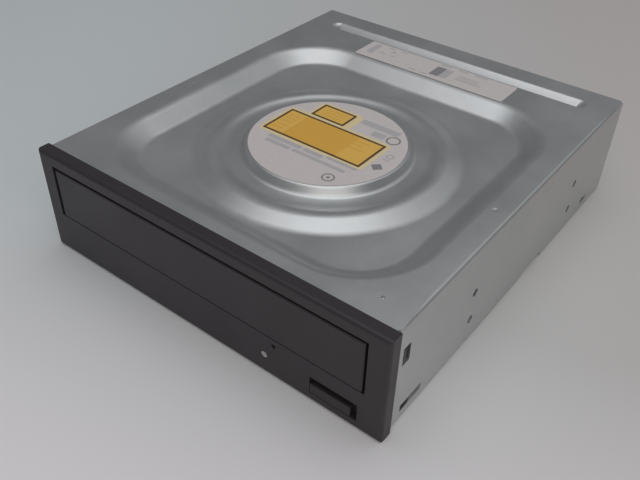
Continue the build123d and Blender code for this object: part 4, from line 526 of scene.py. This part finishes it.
class DISCWRITER_OT_cover(bpy.types.Operator):
    """Press the top cover from one sheet: dish, double ring, groove, folded sides and windows"""

    bl_idname = "discwriter.cover"
    bl_label = "Pressed Cover"

    def execute(self, context):
        s = context.scene.writer_cover
        top = s.top / MM
        floor = top - s.dish_drop / MM
        half, front, rear = s.width / MM / 2, s.front / MM, s.rear / MM
        bm = bmesh.new()
        self.press_dish(bm, s, top, floor)
        self.press_ring(bm, s.spindle / MM, top, floor, context.scene.writer_stage.facets)
        self.press_groove(bm, s.groove_start / MM, top)
        self.press_marks(bm, top)
        outline = rounded_face(bm, 0, (front + rear) / 2, top, 2 * half, rear - front)
        bmesh.ops.delete(bm, geom=[outline], context="FACES_ONLY")
        fill_between(bm, [e for e in bm.edges if len(e.link_faces) < 2 and level(e, top)])
        self.add_sides(bm, s.skirt / MM, half, front, rear, top)
        bmesh.ops.remove_doubles(bm, verts=bm.verts, dist=MERGE)
        folds = [e for e in bm.edges if len(e.link_faces) == 2 and level(e, top)
                 and all(abs(abs(v.co.x) - half) < NEAR for v in e.verts)]
        soften(bm, folds, FOLD_BEND, 5)
        bmesh.ops.recalc_face_normals(bm, faces=bm.faces)
        largest = max((f for f in bm.faces if level(f, top)), key=lambda f: f.calc_area())
        if largest.normal.z < 0:
            bmesh.ops.reverse_faces(bm, faces=bm.faces)
        bmesh.ops.scale(bm, vec=(MM, MM, MM), verts=bm.verts)
        cover = link_piece(
            "pressed_cover", bm, "drive_body", [shared_steel(s)], ["top_cover"]
        )
        wall = cover.modifiers.new("Sheet", "SOLIDIFY")
        wall.thickness = s.sheet
        wall.offset = -1
        cover.modifiers.new("Cut edges", "EDGE_SPLIT").split_angle = CUT_ANGLE
        weigh_normals(cover)
        return {"FINISHED"}

    def press_dish(self, bm, s, top, floor):
        """The land, the slope and the foot of the dish. Its floor stays open for the ring."""
        width, depth = s.dish_width / MM, s.dish_length / MM
        middle_y = s.dish_front / MM + depth / 2
        dish = rounded_face(
            bm, 0, middle_y, top, width + 2 * DISH_LAND, depth + 2 * DISH_LAND,
            s.dish_corner / MM + DISH_LAND, segments=24,
        )
        slope = (s.dish_slope / MM, floor - top)
        rims = press(bm, dish, [(DISH_LAND, 0), slope, (DISH_FLOOR_LAND, 0)])
        soften(bm, rims[0], DISH_RIM_BEND, 6)
        soften(bm, [e for e in bends(bm.edges, 20) if level(e, floor)], DISH_FOOT_BEND, 5)
        inner = max((f for f in bm.faces if level(f, floor)), key=lambda f: len(f.verts))
        bmesh.ops.delete(bm, geom=[inner], context="FACES_ONLY")

    def press_ring(self, bm, axis_y, top, floor, facets):
        """The double ring with the raised disc inside it, joined to the floor of the dish."""
        before = set(bm.edges)
        ring = round_face(bm, 0, axis_y, floor, RING_FOOT_RADIUS + RING_LAND, facets)
        press(bm, ring, [
            (RING_LAND, 0), (RING_SLOPE, top - CREST_DROP - floor),
            (CREST_SLOPE, CREST_DROP - VALLEY_DROP), (VALLEY_WIDTH, 0),
            (DISC_SLOPE, VALLEY_DROP), (DISC_LAND, 0),
        ])
        creases = bends([e for e in bm.edges if e not in before], 6)
        for inner, outer, offset, count in RING_BENDS:
            band = [e for e in creases if e.is_valid and inner < middle_radius(e, axis_y) <= outer]
            soften(bm, band, offset, count)
        fill_between(bm, [e for e in bm.edges if len(e.link_faces) == 1 and level(e, floor)])

    def press_groove(self, bm, start_y, top):
        """The stiffening groove with its rounded rim."""
        middle_y = start_y + GROOVE_WIDTH / 2
        groove = rounded_face(
            bm, 0, middle_y, top, GROOVE_LENGTH + 2 * GROOVE_LAND, GROOVE_WIDTH + 2 * GROOVE_LAND,
            GROOVE_CORNER + GROOVE_LAND, segments=10,
        )
        press(bm, groove, [(GROOVE_LAND, 0), (GROOVE_SLOPE, -GROOVE_DROP)])
        reach = GROOVE_WIDTH / 2 + GROOVE_LAND
        rim = [e for e in bends(bm.edges, 15)
               if level(e, top) and abs(e.verts[0].co.y - middle_y) < reach]
        soften(bm, rim, GROOVE_BEND, 3)

    def press_marks(self, bm, top):
        """The two shallow dimples and the small pit near the front."""
        for x, y in DIMPLES:
            press(bm, round_face(bm, x, y + BEZEL_FRONT_Y, top, DIMPLE_RADIUS, 20), DIMPLE_STEPS)
        x, y = PIT
        press(bm, round_face(bm, x, y + BEZEL_FRONT_Y, top, PIT_RADIUS, 20), PIT_STEPS)

    def add_sides(self, bm, skirt, half, front, rear, top):
        """Both folded sides with their windows, drawn flat and stood up."""
        notch_front, notch_rear = NOTCH_YS
        outline = (
            (front, skirt), (notch_front, skirt), (notch_front, NOTCH_TOP), (notch_rear, NOTCH_TOP),
            (notch_rear, skirt), (rear, skirt), (rear, top), (front, top),
        )
        for side in (1, -1):
            flat = bmesh.new()
            corners = [flat.verts.new((y, z, 0)) for y, z in outline]
            for a, b in zip(corners, corners[1:] + corners[:1]):
                flat.edges.new((a, b))
            windows = [
                rounded_face(flat, y, z, 0, long, high, WINDOW_CORNER, segments=3)
                for y, z, long, high in SIDE_WINDOWS
            ]
            for y in MOUNT_YS:
                windows += [round_face(flat, y, z, 0, MOUNT_RADIUS, 28) for z in MOUNT_ZS]
            bmesh.ops.delete(flat, geom=windows, context="FACES_ONLY")
            fill_between(flat, flat.edges[:])
            upright = Matrix(((0, 0, 1, side * half), (1, 0, 0, 0), (0, 1, 0, 0), (0, 0, 0, 1)))
            bmesh.ops.transform(flat, matrix=upright, verts=flat.verts)
            sheet = bpy.data.meshes.new("side")
            flat.to_mesh(sheet)
            flat.free()
            bm.from_mesh(sheet)
            bpy.data.meshes.remove(sheet)


def softened_copy(node, body, material, radius, name=None, shape=None):
    """A copy of a CAD piece with its facets merged and its sharp edges given a small radius."""
    bm = bmesh.new()
    bm.from_mesh(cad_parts[node].data)
    bmesh.ops.remove_doubles(bm, verts=bm.verts, dist=2 * MERGE * MM)
    bmesh.ops.dissolve_limit(
        bm, angle_limit=FLAT_ANGLE, use_dissolve_boundaries=False, verts=bm.verts, edges=bm.edges
    )
    if shape:
        for v in bm.verts:
            v.co = shape(v.co / MM) * MM
    bmesh.ops.triangulate(bm, faces=[f for f in bm.faces if len(f.verts) > MOST_CORNERS])
    piece = link_piece(name or node + "_finished", bm, body, [material], [node])
    bevel = piece.modifiers.new("Small radii", "BEVEL")
    bevel.width = radius * MM
    bevel.segments = 2
    bevel.limit_method = "ANGLE"
    bevel.angle_limit = SHARP_ANGLE
    bevel.use_clamp_overlap = True
    weigh_normals(piece)


def paint(node, material):
    """Gives a CAD piece that stays as it is its real material."""
    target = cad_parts[node]
    target.data.materials.clear()
    target.data.materials.append(material)


def flush_door(co):
    """Brings the door's face nearly level with the bezel and down to a hairline gap below it."""
    if co.y > DOOR_BACK_Y:
        return co
    z = co.z
    if z < DOOR_EDGE_TOP_Z:
        z = DOOR_LOW_Z + (z - DOOR_CAD_LOW_Z) * DOOR_EDGE_SCALE
    return Vector((co.x, co.y - DOOR_FORWARD, z))


def stepped_button(co):
    """Gives the button its full face, with the finger slot above it and at its right."""
    in_cap = co.y <= CAP_BACK_Y and CAP_XS[0] < co.x < CAP_XS[1] and CAP_ZS[0] < co.z < CAP_ZS[1]
    if not in_cap:
        return co
    x = BUTTON_XS[0] if co.x < BUTTON_MIDDLE_X else BUTTON_XS[1]
    y = BUTTON_FACE_Y if co.y < BUTTON_EDGE_Y else co.y
    z = BUTTON_ZS[0] if co.z < BUTTON_MIDDLE_Z else BUTTON_ZS[1]
    return Vector((x, y, z))


class DISCWRITER_OT_front(bpy.types.Operator):
    """Finish the bezel, the tray door, the eject button and the light"""

    bl_idname = "discwriter.front"
    bl_label = "Front"

    def execute(self, context):
        s = context.scene.writer_bezel
        bezel = moulded("Moulded ABS, near black", s.plastic, 0.46, 0.4, 0.03)
        radius = s.edge / MM
        for node, body, name, shape in (
            ("front_bezel", "drive_body", "bezel_moulding", None),
            ("tray_door", "tray", "door_moulding", flush_door),
            ("eject_button", "eject_button", "button_moulding", stepped_button),
        ):
            softened_copy(node, body, bezel, radius, name, shape)
        paint("light_pipe", clear_part("Clear acrylic", "#F2EEEE", 0.15))
        paint("status_light", clear_part("Clear epoxy", "#B9C7B0", 0.2))
        return {"FINISHED"}


class DISCWRITER_OT_floor_pan(bpy.types.Operator):
    """Finish the bottom cover"""

    bl_idname = "discwriter.floor_pan"
    bl_label = "Bottom Cover"

    def execute(self, context):
        steel = shared_steel(context.scene.writer_cover)
        softened_copy("bottom_cover", "drive_body", steel, 0.25, "floor_pan")
        return {"FINISHED"}


class DISCWRITER_OT_loader(bpy.types.Operator):
    """Finish the loader: frame, tray, gears, belt, motor and cam slider"""

    bl_idname = "discwriter.loader"
    bl_label = "Loader"

    def execute(self, context):
        s = context.scene.writer_bezel
        steel = shared_steel(context.scene.writer_cover)
        works = moulded("Moulded glass-filled ABS", s.works, 0.5, 0.5)
        tray = moulded("Moulded polycarbonate blend", s.tray, 0.42, 0.5)
        acetal = moulded("Natural acetal", s.natural, 0.38, 0.8, 0.01)
        rubber = moulded("Belt rubber", linear("#1B1B1B"), 0.7, 0.3, 0.02)
        plated = bare_metal("Nickel-plated steel", "#B9B8B4", 0.28)
        for node, body, material, radius, slot, name in (
            ("disc_tray", "tray", tray, 0.3, "tray_plastic", "tray_moulding"),
            ("loader_frame", "drive_body", works, 0.25, "frame_plastic", "frame_moulding"),
            ("cam_slider", "cam_slider", acetal, 0.2, "gear_plastic", "slider_moulding"),
            ("clamp_bridge", "drive_body", steel, 0.25, "galvanised_steel", "bridge_pressing"),
            ("loading_motor", "drive_body", plated, 0.25, "motor_steel", "motor_can"),
        ):
            softened_copy(node, body, material, radius, name)
        for node in ("drive_gear", "pulley_gear"):
            paint(node, acetal)
        paint("motor_pulley", bare_metal("Turned brass", "#C9A24F", 0.25))
        paint("motor_shaft", bare_metal("Ground steel", "#C4C4C4", 0.15))
        paint("drive_belt", rubber)
        paint("clamper", works)
        paint("clamper_magnet", bare_metal("Sintered ferrite", "#4A4A4C", 0.5))
        paint("clamper_yoke", plated)
        return {"FINISHED"}


class DISCWRITER_OT_traverse(bpy.types.Operator):
    """Finish the traverse: lift frame, plate, rods, turntable and pickup"""

    bl_idname = "discwriter.traverse"
    bl_label = "Traverse"

    def execute(self, context):
        s = context.scene.writer_bezel
        steel = shared_steel(context.scene.writer_cover)
        works = bpy.data.materials["Moulded glass-filled ABS"]
        rubber = bpy.data.materials["Belt rubber"]
        ground = bpy.data.materials["Ground steel"]
        plated = bpy.data.materials["Nickel-plated steel"]
        table = moulded("Moulded table plastic", s.tray, 0.35, 0.5)
        casting = bare_metal("Die-cast zinc", "#A9AAAB", 0.42, 0.5)
        lens = clear_part("Coated lens glass", "#8FA6D8", 0.05)
        for node, body, material, radius, slot, name in (
            ("lift_frame", "traverse", works, 0.25, "frame_plastic", "lift_frame_moulding"),
            ("traverse_plate", "traverse", steel, 0.2, "galvanised_steel", "traverse_pressing"),
            ("pickup_base", "sled", casting, 0.3, "diecast_zinc", "pickup_casting"),
            ("pickup_cover", "sled", table, 0.25, "table_plastic", "pickup_lid"),
        ):
            softened_copy(node, body, material, radius, name)
        for node, material in (
            ("damper_grommets", rubber), ("turntable_pad", rubber), ("guide_rods", ground),
            ("lead_screw", ground), ("spindle_motor", plated), ("sled_motor", plated),
            ("turntable", table), ("objective_lens", lens),
        ):
            paint(node, material)
        return {"FINISHED"}


def add_legs(bm, node, pitch=0.8, width=0.36):
    """Bent legs along the four sides of a chip, which carry it on the board below."""
    low, high = cad_box(node)
    middle, foot = (low + high) / 2, low.z + LEG_LIFT
    profile = tuple(zip(LEG_BENDS, (middle.z, middle.z, foot, foot)))
    for turn in range(4):
        reach, run = (high.x - low.x) / 2, high.y - low.y
        if turn % 2:
            reach, run = (high.y - low.y) / 2, high.x - low.x
        count = int((run - LEG_MARGIN) / pitch)
        for k in range(count + 1):
            made = bmesh.ops.create_grid(bm, x_segments=3, y_segments=1, size=0.5)
            for v in made["verts"]:
                out, height = profile[round((v.co.x + 0.5) * 3)]
                v.co = Vector((reach + out, (k - count / 2) * pitch + v.co.y * width, height))
            turned = Matrix.Rotation(radians(90 * turn), 3, "Z")
            bmesh.ops.rotate(bm, verts=made["verts"], matrix=turned)
            bmesh.ops.translate(bm, verts=made["verts"], vec=(middle.x, middle.y, 0))


class DISCWRITER_OT_boards(bpy.types.Operator):
    """Finish the circuit boards, their chips, sockets and ribbon"""

    bl_idname = "discwriter.boards"
    bl_label = "Circuit Boards"

    def execute(self, context):
        board = circuit_board("Glass-epoxy board with green mask")
        chip = moulded("Moulded chip resin", linear("#202022"), 0.5, 0.3)
        nylon = moulded("Natural nylon", linear("#CFC9B8"), 0.45, 0.6)
        black = moulded("Moulded black nylon", linear("#1E1E20"), 0.4, 0.6)
        chips = ("controller_chip", "driver_chip", "memory_chip")
        legs = bmesh.new()
        for node in chips:
            softened_copy(node, "drive_body", chip, 0.15)
            add_legs(legs, node)
        bmesh.ops.scale(legs, vec=(MM, MM, MM), verts=legs.verts)
        bronze = bare_metal("Tinned bronze", "#BDBDB8", 0.3)
        legs = link_piece("chip_legs", legs, "drive_body", [bronze])
        legs.modifiers.new("Sheet", "SOLIDIFY").thickness = LEG_SHEET * MM
        softened_copy("ribbon_sockets", "drive_body", nylon, 0.2)
        cans = bare_metal("Anodised aluminium can", "#A9ABAE", 0.3)
        contacts = bare_metal("Gold-flashed bronze", "#D8B25A", 0.22)
        for node, material in (
            ("front_board", board), ("main_board", board), ("front_ribbon", nylon),
            ("rear_socket", black), ("eject_switch", black), ("capacitors", cans),
            ("socket_contacts", contacts),
        ):
            paint(node, material)
        return {"FINISHED"}


class DISCWRITER_OT_fasteners(bpy.types.Operator):
    """Finish all the screws"""

    bl_idname = "discwriter.fasteners"
    bl_label = "Screws"

    def execute(self, context):
        zinc = bare_metal("Zinc-plated screw steel", "#BDBDBA", 0.3)
        for place in ("bottom", "bridge", "board", "motor", "grommet"):
            paint(place + "_screws", zinc)
        return {"FINISHED"}


def field(bm, edges, z, ink, corner=0.0):
    """One printed field, from its left, right, near and far edge."""
    x0, x1, y0, y1 = edges
    face = rounded_face(
        bm, (x0 + x1) / 2, (y0 + y1) / 2 + BEZEL_FRONT_Y, z, x1 - x0, y1 - y0, corner, segments=4
    )
    face.material_index = ink


def bars(bm, spans, y, pitch, height, z, ink):
    """Printed bars one after the other, one for each span of X."""
    for row, (x0, x1) in enumerate(spans):
        near = y + row * pitch
        field(bm, (x0, x1, near, near + height), z, ink)


def ring_line(bm, x, y, radius, line, z, ink):
    """A printed ring."""
    face = round_face(bm, x, y + BEZEL_FRONT_Y, z, radius, 40)
    before = set(bm.faces) - {face}
    inset(bm, face, line, 0)
    bmesh.ops.delete(bm, geom=[face], context="FACES")
    for f in bm.faces:
        if f not in before:
            f.material_index = ink


def link_print(name, bm, inks):
    """Makes a print piece from fields in millimetres."""
    bmesh.ops.scale(bm, vec=(MM, MM, MM), verts=bm.verts)
    link_piece(name, bm, "drive_body", inks, ())


class DISCWRITER_OT_labels(bpy.types.Operator):
    """Print the round label and the rear label with plain fields and marks"""

    bl_idname = "discwriter.labels"
    bl_label = "Labels"

    def execute(self, context):
        s = context.scene.writer_labels
        paper = printed("Coated label paper", s.paper)
        inks = [
            printed("Yellow ink", s.yellow), printed("Deep yellow ink", s.deep),
            printed("Brown line ink", s.outline), printed("Pale grey ink", s.grey),
            printed("Grey ink", s.mark), printed("Cream ink", linear("#EBD7A8")),
        ]
        for node in ("round_label", "rear_label"):
            paint(node, paper)
        z = (context.scene.writer_cover.top + s.lift) / MM
        self.print_round(inks, z)
        self.print_rear(inks, z)
        return {"FINISHED"}

    def print_round(self, inks, z):
        """The framed yellow fields with their bars, and pale bars and plain marks round them."""
        bm = bmesh.new()
        for edges, layer, ink, corner in ROUND_FIELDS:
            field(bm, edges, z + layer * INK_STEP, ink, corner)
        for spans, y, pitch, height in BAR_ROWS:
            bars(bm, spans, y, pitch, height, z + BAR_LAYER * INK_STEP, DEEP)
        first = z + INK_STEP
        for edges in PALE_BARS:
            field(bm, edges, first, PALE, 0.5)
        ring_line(bm, 18.7, 84.9, 2.8, 0.7, first, MARK)
        ring_line(bm, 14.6, 51.1, 2.4, 0.6, first, MARK)
        field(bm, (14.0, 15.2, 50.5, 51.7), first, MARK, 0.3)
        ring_line(bm, 23.7, 75.2, 1.6, 0.6, first, PALE)
        field(bm, (22.2, 25.2, 72.2, 72.9), first, PALE)
        diamond = round_face(bm, 23.7, 66.9 + BEZEL_FRONT_Y, first, 2.4, 4)
        diamond.material_index = MARK
        link_print("round_label_print", bm, inks)

    def print_rear(self, inks, z):
        """The darker and the paler block beside each other, and the pale bars round them."""
        bm = bmesh.new()
        field(bm, (-0.3, 4.0, 140.6, 149.2), z, MARK, 0.3)
        field(bm, (4.0, 7.6, 140.6, 149.2), z, PALE, 0.3)
        for edges in REAR_BARS:
            field(bm, edges, z, PALE, 0.2)
        link_print("rear_label_print", bm, inks)


def blend_along(tree, direction, span, a, b):
    """Blends two tones over a span in metres along a direction on the floor."""
    place = add_node(tree, "ShaderNodeTexCoord")
    along = add_node(tree, "ShaderNodeVectorMath", {"operation": "DOT_PRODUCT"}, {
        0: (place, "Object"), 1: direction,
    })
    return mix(tree, remap(tree, (along, "Value"), 0.0, 1.0, *span), a, b)


class DISCWRITER_OT_stage(bpy.types.Operator):
    """Lay the pale floor, hang three soft lamps and set the camera as in the photograph"""

    bl_idname = "discwriter.stage"
    bl_label = "Stage"

    def execute(self, context):
        s = context.scene.writer_stage
        self.lay_floor(context, s)
        self.hang_lamps(context, s)
        eye = bpy.data.cameras.new("Photo camera")
        eye.sensor_width = CAMERA_SENSOR
        eye.lens = s.lens
        eye.clip_start = CAMERA_NEAREST
        camera = bpy.data.objects.new("Photo camera", eye)
        camera.location = CAMERA_PLACE
        camera.rotation_euler = Euler([radians(angle) for angle in CAMERA_TILT])
        context.scene.collection.objects.link(camera)
        context.scene.camera = camera
        context.scene.view_settings.view_transform = "Standard"
        return {"FINISHED"}

    def lay_floor(self, context, s):
        """The paper floor, with painted warm shade to the right and painted light in front of it.
        """
        bm = bmesh.new()
        bmesh.ops.create_grid(bm, x_segments=1, y_segments=1, size=FLOOR_HALF)
        bmesh.ops.translate(bm, vec=(0, 0, -FLOOR_GAP), verts=bm.verts)
        mesh = bpy.data.meshes.new("paper_floor")
        bm.to_mesh(mesh)
        bm.free()
        floor = bpy.data.objects.new("paper_floor", mesh)
        context.scene.collection.objects.link(floor)
        material, tree = new_material("Pale matt paper with painted light and shade")
        # Painted light and shade: the paper is painted warmer and darker to the right and brighter
        # in front of the writer.
        tone = blend_along(tree, RIGHTWARD, RIGHT_SHADE_BLEND, tuple(s.floor), tuple(s.floor_right_painted_shade))
        tone = blend_along(tree, FORWARD, NEAR_LIGHT_BLEND, tone, tuple(s.floor_near_painted_light))
        close_material(material, {"Base Color": tone, "Roughness": 0.9, "IOR": 1.4})
        mesh.materials.append(material)

    def hang_lamps(self, context, s):
        """The even light of the room and the three square lamps, each turned to the writer."""
        world = bpy.data.worlds.new("Even room light")
        world.use_nodes = True
        sky = world.node_tree.nodes["Background"]
        sky.inputs["Color"].default_value = linear("#F4F6FA")
        sky.inputs["Strength"].default_value = s.world
        context.scene.world = world
        for name, direction, size, power, tone in (
            ("Top lamp", (-0.03, -0.05, 1.0), 1.0, s.top_lamp, "#FBFCFF"),
            ("Front lamp", (0.53, -0.61, 0.588), 1.1, s.front_lamp, "#FFFCFA"),
            ("Rear lamp", (0.30, 0.60, 0.74), 1.0, s.rear_lamp, "#FBFDFF"),
        ):
            lamp = bpy.data.lights.new(name, "AREA")
            lamp.shape = "SQUARE"
            lamp.size = size
            lamp.energy = power
            lamp.color = linear(tone)[:3]
            holder = bpy.data.objects.new(name, lamp)
            holder.location = Vector(direction).normalized() * LAMP_REACH
            holder.rotation_euler = (-holder.location).to_track_quat("-Z", "Y").to_euler()
            context.scene.collection.objects.link(holder)


class DISCWRITER_PT_panel(bpy.types.Panel):
    """Lists the steps in the sidebar"""

    bl_idname = "DISCWRITER_PT_panel"
    bl_label = "Disc Writer"
    bl_space_type = "VIEW_3D"
    bl_region_type = "UI"
    bl_category = PANEL_TAB

    def draw(self, context):
        for operator in OPERATORS:
            self.layout.operator(operator.bl_idname)
        for key, _ in GROUPS:
            group = getattr(context.scene, key)
            box = self.layout.box()
            for prop in group.bl_rna.properties:
                if prop.identifier not in ("rna_type", "name"):
                    box.prop(group, prop.identifier)


GROUPS = (
    ("writer_cover", CoverSettings), ("writer_bezel", BezelSettings),
    ("writer_labels", LabelSettings), ("writer_stage", StageSettings),
)
OPERATORS = (
    DISCWRITER_OT_stage, DISCWRITER_OT_cover, DISCWRITER_OT_floor_pan, DISCWRITER_OT_front,
    DISCWRITER_OT_labels, DISCWRITER_OT_loader, DISCWRITER_OT_traverse, DISCWRITER_OT_boards,
    DISCWRITER_OT_fasteners,
)


def register():
    """Registers the settings, the operators and the panel."""
    for key, group in GROUPS:
        bpy.utils.register_class(group)
        setattr(bpy.types.Scene, key, PointerProperty(type=group))
    for operator in OPERATORS:
        bpy.utils.register_class(operator)
    bpy.utils.register_class(DISCWRITER_PT_panel)


def unregister():
    """Takes them all out again."""
    bpy.utils.unregister_class(DISCWRITER_PT_panel)
    for operator in reversed(OPERATORS):
        bpy.utils.unregister_class(operator)
    for key, group in reversed(GROUPS):
        delattr(bpy.types.Scene, key)
        bpy.utils.unregister_class(group)


def main():
    """Registers everything and runs every step in order."""
    register()
    for operator in OPERATORS:
        group, action = operator.bl_idname.split(".")
        getattr(getattr(bpy.ops, group), action)()


if __name__ == "__main__":
    main()
